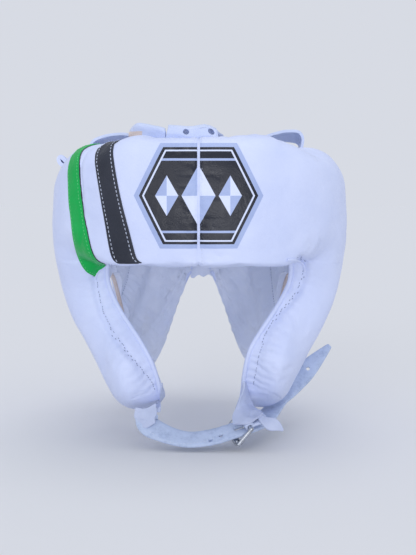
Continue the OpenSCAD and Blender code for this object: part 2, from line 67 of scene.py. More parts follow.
FACE_EDGE = {
    -1: [(-80, 27), (-64, 26), (-46, 28.5), (-32, 34.5), (-11, 46), (10, 51.2), (27, BROW_CORNER)],
    1: [(-80, 34), (-70, 31.5), (-60, 28.8), (-46, 27.6), (-36, 28.8), (-25, 33.5), (-14, 39),
        (0, 45.5), (10, 49.3), (27, BROW_CORNER)],
}
CHEEK_LOW = [(0, -74), (.22, -83), (.5, -78), (1, -51)]
REAR_LOW = [(90, -50), (125, -64), (148, -62), (162, -38), (176, 8)]
TOP_DROP = {
    -1: [(0, 0), (15, 1.6), (25, 1.2), (33, 4.0), (38, 2.6), (47, 1.4), (58, -0.6), (75, 0), (180, 0)],
    1: [(0, 0), (15, 0), (26, 0.3), (34, 3.4), (46, 4.8), (57, 0.4), (75, 0), (180, 0)],
}
SIDE_SEAM = [(0, 43.5), (2, 41.5), (4, 38.3), (5, 38), (6, 39.5), (7, 43.5), (8, BROW_CORNER)]


def ease(t):
    t = np.clip(t, 0, 1)
    return t * t * (3 - 2 * t)


def mix(a, b, t):
    return a + (b - a) * t


def quarter(t, power=2.0):
    """Rise of a rounded edge, from 0 at the edge to 1 where the pad is full."""
    return (1 - (1 - np.clip(t, 0, 1)) ** power) ** (1 / power)


def curve(rows, x):
    """Smooth curve through (key, value) rows."""
    keys = np.array([r[0] for r in rows], float)
    values = np.array([r[1] for r in rows], float)
    rises = np.diff(values) / np.diff(keys)
    slopes = np.concatenate(([rises[0]], (rises[:-1] + rises[1:]) / 2, [rises[-1]]))
    x = np.asarray(x, float)
    k = np.clip(np.searchsorted(keys, x, side="right") - 1, 0, len(keys) - 2)
    h = keys[k + 1] - keys[k]
    t = (x - keys[k]) / h
    t2, t3 = t * t, t * t * t
    return ((2 * t3 - 3 * t2 + 1) * values[k] + (t3 - 2 * t2 + t) * h * slopes[k]
            + (3 * t2 - 2 * t3) * values[k + 1] + (t3 - t2) * h * slopes[k + 1])


def sind(a):
    return np.sin(np.radians(a))


def cosd(a):
    return np.cos(np.radians(a))


def head_radius(phi, z):
    """Plan of the head at a height, wide at the temples and long to the nape."""
    width = mix(curve(FRONT_WIDTH, z), curve(REAR_WIDTH, z), ease((phi - 60) / 70))
    a = TEMPLE_HALF_WIDTH * width
    b = np.where(phi < 90, FOREHEAD_REACH * curve(FRONT_LENGTH, z),
                 NAPE_REACH * curve(REAR_LENGTH, z))
    share = (np.abs(sind(phi)) / a) ** PLAN_POWER + (np.abs(cosd(phi)) / b) ** PLAN_POWER
    return share ** (-1 / PLAN_POWER)


def head_point(phi, z):
    r = head_radius(phi, z)
    return np.stack([r * sind(phi), -r * cosd(phi), z + 0 * r], -1)


def head_normal(phi, z):
    around = head_point(phi + 1, z) - head_point(phi - 1, z)
    upward = head_point(phi, z + 1) - head_point(phi, z - 1)
    n = np.cross(around, upward)
    return n / np.linalg.norm(n, axis=-1, keepdims=True)


def arc_mm(phi_a, phi_b, z):
    return np.radians(phi_b - phi_a) * head_radius((phi_a + phi_b) / 2, z)


def pad_mm(phi):
    front = mix(FOREHEAD_PAD, CHEEK_PAD, ease((phi - 20) / 45))
    return mix(front, REAR_PAD, ease((phi - 85) / 50))


def top_z(phi):
    """Height of the top edge, a little proud beside the forehead."""
    slope = mix(TOP_FRONT_Z, TOP_REAR_Z, ease((phi - 22) / 100))
    return slope + PROUD * np.exp(-((phi - PROUD_AT) / PROUD_SPREAD) ** 2)


def top_drop(phi, z, side):
    """How far the top is drawn down beside the straps of the crown."""
    return curve(TOP_DROP[side], phi) * ease((z - DROP_FROM_Z) / (top_z(phi) - DROP_FROM_Z))


def top_edge(phi, z):
    """Rise of the top edge, wider over the temples than over the forehead."""
    return quarter((top_z(phi) - z) / mix(TOP_ROUND, TEMPLE_ROUND, ease((phi - 28) / 40)))


def face_edge(gap, phi):
    """Rise of the edge round the face, tight along the brow and round along the cheeks."""
    share = ease((phi - 24) / 24)
    return quarter(gap / mix(BROW_ROUND, EDGE_ROUND, share), mix(2.8, 2.0, share))


def row_z(j, top, middle, low):
    upper = mix(top, middle, (1 - cosd(180 * j / UPPER_ROWS)) / 2)
    lower = mix(middle, low, sind(90 * (j - UPPER_ROWS) / LOWER_ROWS))
    return np.where(j <= UPPER_ROWS, upper, lower)


def in_ear(z):
    """How far the ear gap opens at a height, from 0 to 1."""
    share = np.clip((EAR_TOP_Z - z) / (EAR_TOP_Z - EAR_LOW_Z), 0, 1)
    return np.maximum(0, sind(180 * share)) ** 0.35


def seam_fullness(swell, z):
    """Fullness beside the ear: sewn pad to pad above and below, free round the gap."""
    sewn = SEWN_FULLNESS * ease(np.maximum(z - EAR_TOP_Z - 5, EAR_LOW_Z - 5 - z) / 18)
    return sewn + (1 - sewn) * swell


def forehead_place(u, j):
    """Angle, height and fullness on the forehead, u from the centre to the side seam."""
    phi = u * curve(SIDE_SEAM, j)
    z = row_z(j, top_z(phi), BROW_Z, BROW_Z)
    return phi, z, top_edge(phi, z) * face_edge(z - BROW_Z, phi)


def side_place(u, j, side):
    """Angle, height and fullness on a side pad, u from its front edge to the ear seam."""
    s = (1 - cosd(180 * u)) / 2
    front_z = row_z(j, top_z(np.array(BROW_CORNER)), BROW_Z, curve(CHEEK_LOW, 0))
    back_z = row_z(j, top_z(np.array(EAR_SEAM)), BROW_Z, curve(CHEEK_LOW, 1))
    above = j <= UPPER_ROWS
    front = np.where(above, curve(SIDE_SEAM, np.minimum(j, UPPER_ROWS)),
                     curve(FACE_EDGE[side], front_z))
    steady = np.where(above, mix(42, BROW_CORNER, ease(j / UPPER_ROWS)), front)
    back = EAR_SEAM - EAR_SPREAD * in_ear(back_z)
    phi = mix(steady, back, s) + (front - steady) * (1 - s) ** 3
    low = curve(CHEEK_LOW, s)
    z = row_z(j, top_z(phi), BROW_Z, low)
    from_corner = np.maximum(0, arc_mm(np.array(BROW_CORNER), phi, z))
    from_face = np.where(above, np.hypot(from_corner, z - BROW_Z), arc_mm(front, phi, z))
    full = (top_edge(phi, z) * face_edge(from_face, np.maximum(phi, front))
            * quarter((z - low) / EDGE_ROUND, 2.4)
            * seam_fullness(quarter(arc_mm(phi, back, z) / EDGE_ROUND), z))
    return phi, z, full


def rear_place(u, j):
    """Angle, height and fullness on a rear pad, u from the ear seam to the back gap."""
    s = (1 - cosd(180 * u)) / 2
    front_z = row_z(j, top_z(np.array(EAR_SEAM)), BROW_Z, curve(CHEEK_LOW, 1))
    front = EAR_SEAM + EAR_SPREAD * in_ear(front_z)
    phi = mix(front, REAR_EDGE, s)
    low = mix(curve(CHEEK_LOW, 1), curve(REAR_LOW, phi), ease(s * 3))
    z = row_z(j, top_z(phi), mix(BROW_Z, REAR_MIDDLE_Z, s), low)
    full = (top_edge(phi, z) * quarter((z - low) / EDGE_ROUND)
            * seam_fullness(ease(arc_mm(front, phi, z) / REAR_TAPER), front_z)
            * quarter(arc_mm(phi, np.array(REAR_EDGE), z) / EDGE_ROUND))
    return phi, z, full


def layer_mm(phi, full, layer):
    """Distance of a layer of the pad from the head form."""
    if layer == "lining":
        return -INNER_PUFF * full - LINING
    if layer == "lining_back":
        return -INNER_PUFF * full - GLUE_LINE
    if layer == "foam":
        return -INNER_PUFF * full + GLUE_LINE
    if layer == "rim":
        return 0 * full + (COVER - LINING) / 2
    return pad_mm(phi) * full + COVER


def shell_points(place, layer, side):
    phi, z, full = place
    p = head_point(phi, z) + layer_mm(phi, full, layer)[..., None] * head_normal(phi, z)
    p[..., 2] -= top_drop(phi, z, side)
    p[..., 0] *= side
    return p * MM


# Camera, at the height of the brow and straight in front.
TARGET = Vector((6.12, 0, 8)) * MM
DISTANCE, ELEVATION = 0.8, math.radians(5.5)
FOCAL_PX, CENTRE_PX, PICTURE_HEIGHT_PX, SENSOR = 1045.75, (208.0, 277.0), 555, 36
forward = Vector((0, math.cos(ELEVATION), -math.sin(ELEVATION)))
right = Vector((1, 0, 0))
upward = right.cross(forward)
EYE = TARGET - forward * DISTANCE


def in_scene(name, data):
    """New object, linked into the scene."""
    obj = bpy.data.objects.new(name, data)
    bpy.context.scene.collection.objects.link(obj)
    return obj


camera_data = bpy.data.cameras.new("camera")
camera_data.sensor_fit = "VERTICAL"
camera_data.sensor_height = camera_data.sensor_width = SENSOR
camera_data.lens = FOCAL_PX * SENSOR / PICTURE_HEIGHT_PX
camera_data.clip_start = 0.01
camera = in_scene("camera", camera_data)
camera.matrix_world = Matrix.Translation(EYE) @ Matrix((right, upward, -forward)).transposed().to_4x4()
bpy.context.scene.camera = camera

# Lines drawn in the picture: sights between two points, and steps along a line in metres
SIGHTS, LINE_STEP, RIM_STEP = 24, 0.0008, 0.0012


def sight(px, py):
    """Direction from the camera through a point of the picture."""
    x = (px - CENTRE_PX[0]) / FOCAL_PX
    y = (CENTRE_PX[1] - py) / FOCAL_PX
    return (forward + right * x + upward * y).normalized()


def between(a, b, t):
    return mix(a[0], b[0], t), mix(a[1], b[1], t)


def even(points, step):
    """The same polyline with points a fixed step apart."""
    out = [points[0].copy()]
    left = step
    for a, b in zip(points, points[1:]):
        length = (b - a).length
        while length >= left and length > 0:
            a = a.lerp(b, left / length)
            out.append(a.copy())
            length = (b - a).length
            left = step
        left -= length
    return out


def seen_path(tree, pixels):
    """Points on a surface along a line drawn in the picture, evenly spaced, in metres."""
    dense = [between(a, b, k / SIGHTS) for a, b in zip(pixels, pixels[1:]) for k in range(SIGHTS)]
    hits = [tree.ray_cast(EYE, sight(*pixel))[0] for pixel in dense + [pixels[-1]]]
    return even([hit for hit in hits if hit is not None], LINE_STEP)


def smooth_line(pixels, rounds=3):
    """The same picture line with its corners cut."""
    for _ in range(rounds):
        cut = [pixels[0]]
        for a, b in zip(pixels, pixels[1:]):
            cut += [between(a, b, 0.25), between(a, b, 0.75)]
        pixels = cut + [pixels[-1]]
    return pixels


# Finishes, with texture scales per metre
TONE, CREASES, PEBBLE, GRAIN = 28.0, 120.0, 900.0, 2600.0


def linear(rgb):
    """Shader colour of a colour given by its 0 to 255 values."""
    return tuple(((c / 255 + 0.055) / 1.055) ** 2.4 if c > 10 else c / 255 / 12.92 for c in rgb) + (1,)


def grey(v):
    return (v, v, v, 1)


class Nodes:
    """A material's node tree, with short calls to add and join nodes."""

    def __init__(self, name):
        self.material = bpy.data.materials.new(name)
        self.material.use_nodes = True
        self.tree = self.material.node_tree
        self.shader = self.tree.nodes["Principled BSDF"]
        self.coords = self.relief = None

    def add(self, kind, **settings):
        node = self.tree.nodes.new(kind)
        for key, value in settings.items():
            if key in node.inputs:
                node.inputs[key].default_value = value
            else:
                setattr(node, key, value)
        return node

    def join(self, a, out, b, into):
        self.tree.links.new(a.outputs[out], b.inputs[into])

    def texture(self, kind, **settings):
        """A texture laid on the piece's own coordinates."""
        self.coords = self.coords or self.add("ShaderNodeTexCoord")
        node = self.add("ShaderNodeTex" + kind, **settings)
        self.join(self.coords, "Object", node, "Vector")
        return node

    def ramp(self, source, out, stops):
        node = self.add("ShaderNodeValToRGB")
        while len(node.color_ramp.elements) < len(stops):
            node.color_ramp.elements.new(0.5)
        for element, (place, colour) in zip(node.color_ramp.elements, stops):
            element.position = place
            element.color = colour
        self.join(source, out, node, "Fac")
        return node

    def drive(self, socket, source, out, stops):
        """Sets one of the shader's sockets by a texture's value."""
        self.join(self.ramp(source, out, stops), "Color", self.shader, socket)

    def bump(self, source, out, strength, distance, invert=False):
        """Adds relief on top of the relief that is already there."""
        node = self.add("ShaderNodeBump", Strength=strength, Distance=distance, invert=invert)
        self.join(source, out, node, "Height")
        if self.relief:
            self.join(self.relief, "Normal", node, "Normal")
        self.join(node, "Normal", self.shader, "Normal")
        self.relief = node

    def finish(self, sockets):
        """Sets the sockets that are the same all over, and gives the material."""
        for socket, value in sockets.items():
            self.shader.inputs[socket].default_value = value
        return self.material


def leather(name, colour, shade, roughness, grain, creases, gloss=0.42):
    """Grained leather: fine pebble, faint creases, and a slow change of tone and polish."""
    n = Nodes(name)
    tone = n.texture("Noise", Scale=TONE, Detail=5.0, Roughness=0.6)
    pebble = n.texture("Voronoi", Scale=PEBBLE, Randomness=1.0)
    fine = n.texture("Noise", Scale=GRAIN, Detail=3.0, Roughness=0.55)
    crease = n.texture("Noise", Scale=CREASES, Detail=7.0, Roughness=0.62, Distortion=1.2)
    n.drive("Base Color", tone, "Fac", [(0.32, linear(shade)), (0.62, linear(colour))])
    n.drive("Roughness", crease, "Fac", [(0.3, grey(roughness - 0.07)), (0.7, grey(roughness + 0.08))])
    folds = n.ramp(crease, "Fac", [(0.36, grey(0.0)), (0.5, grey(1.0)), (0.66, grey(0.55))])
    n.bump(folds, "Color", creases, 0.0006)
    n.bump(pebble, "Distance", grain, 0.00025)
    n.bump(fine, "Fac", grain * 0.6, 0.0001)
    return n.finish({"Specular IOR Level": gloss})


def flesh_side(name, colour, shade):
    """Rough inner side of a leather strap, with short fibres and darker flecks."""
    n = Nodes(name)
    cloud = n.texture("Noise", Scale=160.0, Detail=8.0, Roughness=0.7)
    fibre = n.texture("Noise", Scale=1500.0, Detail=6.0, Roughness=0.75, Distortion=0.8)
    pale = tuple(min(255, c + 10) for c in colour)
    n.drive("Base Color", cloud, "Fac", [(0.3, linear(shade)), (0.5, linear(colour)), (0.75, linear(pale))])
    n.bump(fibre, "Fac", 0.5, 0.0003)
    n.bump(cloud, "Fac", 0.35, 0.0006)
    return n.finish({"Roughness": 0.82, "Specular IOR Level": 0.25, "Sheen Weight": 0.15})


def thread(name, colour, shade):
    """Twisted sewing thread."""
    n = Nodes(name)
    twist = n.texture("Wave", Scale=900.0, Distortion=2.0, Detail=2.0, bands_direction="DIAGONAL")
    n.drive("Base Color", twist, "Fac", [(0.2, linear(shade)), (0.7, linear(colour))])
    n.bump(twist, "Fac", 0.5, 0.0001)
    return n.finish({"Roughness": 0.7})


def steel(name, colour):
    """Plated wire with fine draw marks and a little tarnish."""
    n = Nodes(name)
    marks = n.texture("Noise", Scale=700.0, Detail=6.0, Roughness=0.7)
    tarnish = n.texture("Noise", Scale=180.0, Detail=5.0, Roughness=0.65)
    dull = tuple(int(c * 0.8) for c in colour)
    n.drive("Base Color", tarnish, "Fac", [(0.34, linear(dull)), (0.56, linear(colour))])
    n.drive("Roughness", marks, "Fac", [(0.3, grey(0.2)), (0.75, grey(0.38))])
    n.bump(marks, "Fac", 0.12, 0.0001)
    return n.finish({"Metallic": 1.0})


def tape(name, colour, shade, scale, depth):
    """Hook or loop tape: a dense field of small bristles."""
    n = Nodes(name)
    bristle = n.texture("Voronoi", Scale=float(scale), Randomness=0.35)
    cloud = n.texture("Noise", Scale=260.0, Detail=4.0)
    n.drive("Base Color", bristle, "Distance", [(0.05, linear(colour)), (0.6, linear(shade))])
    n.bump(bristle, "Distance", 0.8, depth, invert=True)
    n.bump(cloud, "Fac", 0.3, 0.0004)
    return n.finish({"Roughness": 0.85, "Sheen Weight": 0.2})


WHITE = leather("white_leather", (211, 220, 250), (203, 213, 246), 0.46, 0.16, 0.18)
# Lining leather is lighter than the cover leather: painted light that brightens the shaded inside. The web
# across the rear gap uses it too.
INSIDE_PAINTED_LIGHT = leather("lining_leather", (224, 230, 247), (213, 221, 242), 0.52, 0.2, 0.3)
STRAP = leather("strap_leather", (206, 216, 244), (194, 206, 236), 0.5, 0.2, 0.3)
GREEN = leather("green_leather", (20, 176, 84), (14, 162, 74), 0.45, 0.16, 0.2, 0.18)
BLACK = leather("black_leather", (48, 52, 64), (38, 42, 54), 0.48, 0.3, 0.35, 0.3)
# Tab leather is a darker copy of the strap leather: painted shade on the chin tabs and the chape's tongue.
TAB_PAINTED_SHADE = leather("tab_leather", (194, 203, 230), (180, 190, 219), 0.55, 0.2, 0.3)
CREAM = leather("raw_edge", (226, 212, 206), (208, 192, 184), 0.7, 0.3, 0.3)
# The flesh side's grey-blue colour, darker than the grain side, is painted shade. Its roughness and fibres
# are the flesh side's own.
FLESH_PAINTED_SHADE = flesh_side("strap_flesh_side_painted_shade", (186, 200, 228), (160, 176, 208))
PRINT_BLACK = leather("black_print", (24, 29, 44), (20, 24, 38), 0.36, 0.14, 0.2)
PRINT_GREY = leather("grey_print", (168, 184, 226), (158, 174, 218), 0.4, 0.14, 0.2)
PRINT_WHITE = leather("white_print", (218, 226, 252), (210, 220, 248), 0.4, 0.14, 0.2)
PALE_THREAD = thread("pale_thread", (222, 228, 246), (176, 186, 214))
DARK_THREAD = thread("shaded_thread", (146, 158, 192), (104, 116, 150))
GREEN_THREAD = thread("green_thread", (120, 214, 150), (60, 176, 104))
STEEL = steel("buckle_steel", (196, 200, 208))
HOOK = tape("hook_tape", (92, 96, 104), (48, 50, 56), 1500, 0.0006)
LOOP = tape("loop_tape", (132, 138, 150), (96, 100, 112), 900, 0.0005)

# Making the pieces
SIDES = ((-1, "right"), (1, "left"))
SMOOTH_DEG, STRAP_SMOOTH_DEG, STRAP_EDGE_DEG, RIM_DEG = 48, 60, 50, 60
CLOTH_FRAMES = 20
CLOTH = {"vertex_group_mass": "held", "quality": 5, "mass": 0.3, "tension_stiffness": 30,
         "compression_stiffness": 30, "shear_stiffness": 12, "bending_stiffness": 1.5, "air_damping": 2,
         "use_pressure": True}
STITCH_STEP, STITCH_SINK, STRAP_WAVE = 0.0004, 0.25, 13


def piece(name, bm, material, body, nodes=()):
    """Turns a bmesh into a finished piece that rides on a body."""
    mesh = bpy.data.meshes.new(name)
    bm.to_mesh(mesh)
    bm.free()
    for m in material if isinstance(material, (list, tuple)) else [material]:
        mesh.materials.append(m)
    mesh.shade_smooth()
    mesh.set_sharp_from_angle(angle=math.radians(SMOOTH_DEG))
    obj = in_scene(name, mesh)
    if body:
        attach(obj, body)
    if nodes:
        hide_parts(*nodes)
    return obj


def apply_modifiers(obj):
    """Keeps the shape that the modifiers give, and clears them."""
    mesh = bpy.data.meshes.new_from_object(obj.evaluated_get(bpy.context.evaluated_depsgraph_get()))
    obj.modifiers.clear()
    old, obj.data = obj.data, mesh
    bpy.data.meshes.remove(old)
    mesh.name = obj.name
    return mesh


def tree_of(obj):
    """Surface of a finished piece, for rays and nearest points."""
    return BVHTree.FromPolygons([v.co for v in obj.data.vertices], [f.vertices[:] for f in obj.data.polygons])


def numbered(bm):
    """The vertices, each with a number that its copy behind the sheet keeps."""
    number = bm.verts.layers.int.new("number")
    for k, v in enumerate(bm.verts):
        v[number] = k
    return bm.verts


def face_to(bm, facing):
    """Turns a sheet so that most of it faces one way."""
    bm.normal_update()
    if sum(f.normal.dot(Vector(facing)) for f in bm.faces) < 0:
        bmesh.ops.reverse_faces(bm, faces=bm.faces[:])
        bm.normal_update()


def raise_by(bm, lift):
    """Moves each vertex along its normal, by lift(place) millimetres."""
    for v, co in [(v, v.co + v.normal * lift(v.co) * MM) for v in bm.verts]:
        v.co = co
    bm.normal_update()


def draw_through(bm, back):
    """Closes a numbered sheet with a second face at the points behind it."""
    number = bm.verts.layers.int["number"]
    for v in bmesh.ops.extrude_face_region(bm, geom=bm.faces[:])["geom"]:
        if isinstance(v, bmesh.types.BMVert):
            v.co = back[v[number]]
    bmesh.ops.recalc_face_normals(bm, faces=bm.faces[:])


class Seam:
    """A sewn line: a groove with puckers that fan out from it."""

    def __init__(self, points, groove=1.0, width=2.2, pucker=0.0, reach=7.0, pitch=6.0):
        self.points = points
        self.groove, self.width = groove, width
        self.pucker, self.reach, self.pitch = pucker, reach, pitch
        self.tree = KDTree(len(points))
        self.run = [0.0]
        for k, p in enumerate(points):
            self.tree.insert(p, k)
            if k:
                self.run.append(self.run[-1] + (p - points[k - 1]).length / MM)
        self.tree.balance()

    def lift(self, p):
        _, k, d = self.tree.find(p)
        d /= MM
        if d > 6 * self.reach:
            return 0.0
        a = self.run[k]
        drift = a / self.pitch + 0.25 * math.sin(a / 9.0) + 0.12 * math.sin(a / 3.7 + d / 5)
        wave = math.sin(math.tau * drift)
        return (-self.groove * math.exp(-(d / self.width) ** 2)
                + self.pucker * wave * math.exp(-d / self.reach) * min(1, d / 1.5))


def slack(p, size, amount):
    """Slow unevenness of leather over foam, in millimetres."""
    q = p / (size * MM)
    return amount * (noise.noise(q) + 0.5 * noise.noise(q * 2.3 + Vector((7.1, 3.3, 1.9))))


def grid_part(bm, columns, rows, x0, x1, y1):
    """Flat grid from x0 to x1 and from 0 to y1."""
    made = bmesh.ops.create_grid(bm, x_segments=columns, y_segments=rows, size=0.5)["verts"]
    for v in made:
        v.co = ((v.co.x + 0.5) * (x1 - x0) + x0, (v.co.y + 0.5) * y1, 0)


def settle(bm, held, swell, spare, cap):
    """Lets a sheet swell and crease between the points that are sewn down, by a short cloth run."""
    mesh = bpy.data.meshes.new("settling")
    bm.to_mesh(mesh)
    obj = in_scene("settling", mesh)
    obj.vertex_groups.new(name="held").add([v.index for v in bm.verts if held(v)], 1.0, "REPLACE")
    cloth = obj.modifiers.new("cloth", "CLOTH")
    cloth.point_cache.frame_start, cloth.point_cache.frame_end = 1, CLOTH_FRAMES
    for setting, value in CLOTH.items():
        setattr(cloth.settings, setting, value)
    cloth.settings.uniform_pressure_force = swell
    cloth.settings.shrink_min = -spare
    cloth.settings.effector_weights.gravity = 0
    for step in range(1, CLOTH_FRAMES + 1):
        bpy.context.scene.frame_set(step)
    done = obj.evaluated_get(bpy.context.evaluated_depsgraph_get()).data.vertices
    for v, moved in zip(bm.verts, done):
        move = moved.co - v.co
        most = cap(v.co / MM) * MM
        if move.length > 1e-9:
            v.co = v.co + move * (most * math.tanh(move.length / most) / move.length)
    bpy.context.scene.frame_set(1)
    bpy.data.objects.remove(obj)
    bpy.data.meshes.remove(mesh)
    bm.normal_update()


def drape(parts, outer, inner, detail, facing=1, swell=None):
    """Closed pad: flat grids laid on a form, worked over, and drawn through to the layer behind."""
    bm = bmesh.new()
    for part in parts:
        grid_part(bm, *part)
    bmesh.ops.remove_doubles(bm, verts=bm.verts, dist=1e-5)
    flat = np.array([v.co for v in bm.verts])
    for v, p in zip(numbered(bm), outer(flat[:, 0], flat[:, 1])):
        v.co = p
    bm.normal_update()
    outward = sum(f.normal.xy.dot(f.calc_center_median().xy) for f in bm.faces)
    if outward * facing < 0:
        bmesh.ops.reverse_faces(bm, faces=bm.faces[:])
        bm.normal_update()
    raise_by(bm, detail(BVHTree.FromBMesh(bm)))
    if swell:
        settle(bm, lambda v: v.is_boundary or detail.sewn(v.co), *swell)
    tree = BVHTree.FromBMesh(bm)
    draw_through(bm, inner(flat[:, 0], flat[:, 1]))
    return bm, tree


def stitch_line(bm, tree, points, length, pitch, width, height):
    """Adds a row of stitches that lie on a surface along a polyline."""
    line = even(points, STITCH_STEP)
    reach = length * MM / STITCH_STEP
    at = 0.0
    while at + reach < len(line) - 1:
        a, b = line[int(at)], line[int(at + reach)]
        middle, normal, _, _ = tree.find_nearest((a + b) / 2)
        if middle is not None and (b - a).length > 1e-6:
            along = (b - a).normalized()
            normal = (normal - along * normal.dot(along)).normalized()
            lift = Matrix.Translation(middle + normal * (height * 0.5 - STITCH_SINK) * MM)
            turn = Matrix((along, normal.cross(along), normal)).transposed().to_4x4()
            size = Matrix.Diagonal((length * MM * 0.5, width * MM * 0.5, height * MM * 0.5, 1))
            lay = Matrix.Rotation(math.radians(90), 4, "Y")
            bmesh.ops.create_uvsphere(bm, u_segments=6, v_segments=4, radius=1,
                                      matrix=lift @ turn @ size @ lay)
        at += pitch * MM / STITCH_STEP


def stitches(name, finish, body, rows):
    """Thread of one kind, from rows of (surface, points, stitch)."""
    bm = bmesh.new()
    for tree, points, stitch in rows:
        stitch_line(bm, tree, points, *stitch)
    piece(name, bm, finish, body)


def welt(name, points, radius, material=WHITE):
    """Thin rolled edge or welt along a line."""
    data = bpy.data.curves.new(name, "CURVE")
    data.dimensions = "3D"
    data.bevel_depth = radius * MM
    data.bevel_resolution = 3
    data.use_fill_caps = True
    spline = data.splines.new("POLY")
    spline.points.add(len(points) - 1)
    for s, p in zip(spline.points, points):
        s.co = (*p, 1)
    holder = in_scene(name + "_line", data)
    mesh = bpy.data.meshes.new_from_object(holder.evaluated_get(bpy.context.evaluated_depsgraph_get()))
    bpy.data.objects.remove(holder)
    bm = bmesh.new()
    bm.from_mesh(mesh)
    bpy.data.meshes.remove(mesh)
    bmesh.ops.remove_doubles(bm, verts=bm.verts, dist=1e-7)
    piece(name, bm, material, "shell")


def lofted(rows, columns, steps):
    """Smooth surface through rows of points, as an array by column and step."""
    rows = np.array(rows, float)
    n, m, _ = rows.shape
    down, across = np.linspace(0, n - 1, steps + 1), np.linspace(0, m - 1, columns + 1)
    lines = np.array([[curve(list(zip(range(n), rows[:, k, c])), down) for c in range(3)] for k in range(m)])
    return np.array([[curve(list(zip(range(m), lines[:, c, j])), across) for c in range(3)]
                     for j in range(steps + 1)]).transpose(2, 0, 1)


def leather_sheet(name, rows, columns, steps, thick, material, body, nodes, facing, slacks, raw=None):
    """Soft leather piece through rows of points; raw(point) tells where its pale cut edge shows."""
    points = lofted(rows, columns, steps)
    bm = bmesh.new()
    bmesh.ops.create_grid(bm, x_segments=columns, y_segments=steps, size=0.5)
    for v in numbered(bm):
        v.co = points[round((v.co.x + 0.5) * columns), round((v.co.y + 0.5) * steps)] * MM
    face_to(bm, facing)
    for size, amount in slacks:
        raise_by(bm, lambda p: slack(p, size, amount))
    draw_through(bm, [v.co - v.normal * thick * MM for v in bm.verts])
    rims = [e for e in bm.edges if e.calc_face_angle(0) > math.radians(RIM_DEG)]
    bmesh.ops.bevel(bm, geom=rims, offset=thick * 0.3 * MM, offset_type="OFFSET", affect="EDGES", segments=2,
                    profile=0.5, material=-1, clamp_overlap=True)
    if raw:
        for f in bm.faces:
            f.material_index = int(raw(f.calc_center_median() / MM))
    return piece(name, bm, [material, CREAM] if raw else material, body, nodes)


def copy_of(name, node, material, body, levels=3, crease=0.45, soft=0.0, bend=None):
    """A strap that keeps its solid's form, with rounded edges and some slack."""
    bm = bmesh.new()
    bm.from_mesh(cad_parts[node].data)
    bmesh.ops.remove_doubles(bm, verts=bm.verts, dist=2e-6)
    bmesh.ops.join_triangles(bm, faces=bm.faces[:], angle_face_threshold=math.radians(35),
                             angle_shape_threshold=math.radians(75))
    layer = bm.edges.layers.float.get("crease_edge") or bm.edges.layers.float.new("crease_edge")
    for e in bm.edges:
        if len(e.link_faces) == 2 and e.calc_face_angle(0) > math.radians(STRAP_EDGE_DEG):
            e[layer] = crease
    obj = piece(name, bm, material, body, (node,))
    smooth = obj.modifiers.new("smooth", "SUBSURF")
    smooth.levels = smooth.render_levels = levels
    mesh = apply_modifiers(obj)
    mesh.shade_smooth()
    mesh.set_sharp_from_angle(angle=math.radians(STRAP_SMOOTH_DEG))
    for v in mesh.vertices:
        if soft:
            q = v.co / (STRAP_WAVE * MM)
            shift = (noise.noise(q + Vector(other)) for other in ((0, 0, 0), (5, 9, 2), (1, 4, 8)))
            v.co = v.co + soft * MM * Vector(shift)
        if bend:
            v.co = bend(v.co / MM) * MM
    return obj


# Padded shell
FINE = 10
FOREHEAD_COLUMNS, SIDE_COLUMNS, REAR_COLUMNS = 56, 84, 72
BROW_SHARE = UPPER_ROWS / ROWS


def front_face(layer, side):
    """Places a flat grid: negative x is the forehead, positive x the side pad."""
    def place(x, y):
        j = y * ROWS
        fore = shell_points(forehead_place(1 + np.minimum(x, 0), np.minimum(j, UPPER_ROWS)), layer, side)
        aside = shell_points(side_place(np.maximum(x, 0), j, side), layer, side)
        return np.where((x < 0)[:, None], fore, aside)
    return place


def rear_face(layer, side):
    def place(x, y):
        return shell_points(rear_place(x, y * ROWS), layer, side)
    return place


def edge_line(place, count=400):
    """Points along an edge of a pad, given as a function from 0 to 1."""
    t = np.linspace(0, 1, count)
    return [Vector(p) for p in place(t)]


RIGHT_CHEEK_SEAM = [(97, 270), (95, 278), (97, 299), (102, 315), (109, 330), (127, 351), (138, 363),
                    (147, 375), (153, 383), (156, 391)]
LEFT_CHEEK_SEAM = [(300, 258), (305, 265), (304, 275), (300, 287), (291, 300), (279, 312), (266, 331),
                   (260, 347), (256, 363), (253, 379), (252, 388)]
# Sewn lines and gathers: groove and its width, then pucker with its reach and pitch, in millimetres
CHEEK_SEAM = (2.0, 2.6, 0.5, 8.0, 6.0)
CENTRE_SEAM = (1.1, 1.5, 0.16, 5.0, 4.2)
TEMPLE_SEAM = (0.7, 1.6)
FRONT_EAR_SEAM, REAR_EAR_SEAM = (0.5, 2.0, 0.35, 8.0, 7.0), (0.5, 2.0, 0.3, 8.0, 7.0)
TOP_GATHER = {-1: (0.0, 1.0, 0.6, 8.0, 7.5), 1: (0.0, 1.0, 1.0, 8.0, 7.5)}
REAR_TOP_GATHER, REAR_GAP_GATHER = (0.0, 1.0, 0.45, 9.0, 8.0), (0.0, 1.0, 0.4, 8.0, 7.5)
LINING_SIDE_HEM, LINING_LOW_HEM = (0.9, 2.2, 0.55, 8.0, 6.5), (0.7, 2.2, 0.5, 8.0, 7.5)
HEM_SIDE_SHARE, HEM_LOW_SHARE, QUILT, QUILT_REACH = 0.9, 0.78, 4.2, 9.0
HELD_GROOVE, HELD_REACH = 0.4, 1.4
# Slack of the leather: size and amount, in millimetres
PAD_WAVES, PAD_DIMPLES, LINING_WAVES, LINING_DIMPLES = (34, 0.9), (11, 0.14), (26, 1.0), (9, 0.15)


def uneven(p):
    return slack(p, *PAD_WAVES) + slack(p, *PAD_DIMPLES)


def line_seam(place, *shape):
    return Seam(even(edge_line(place), LINE_STEP), *shape)


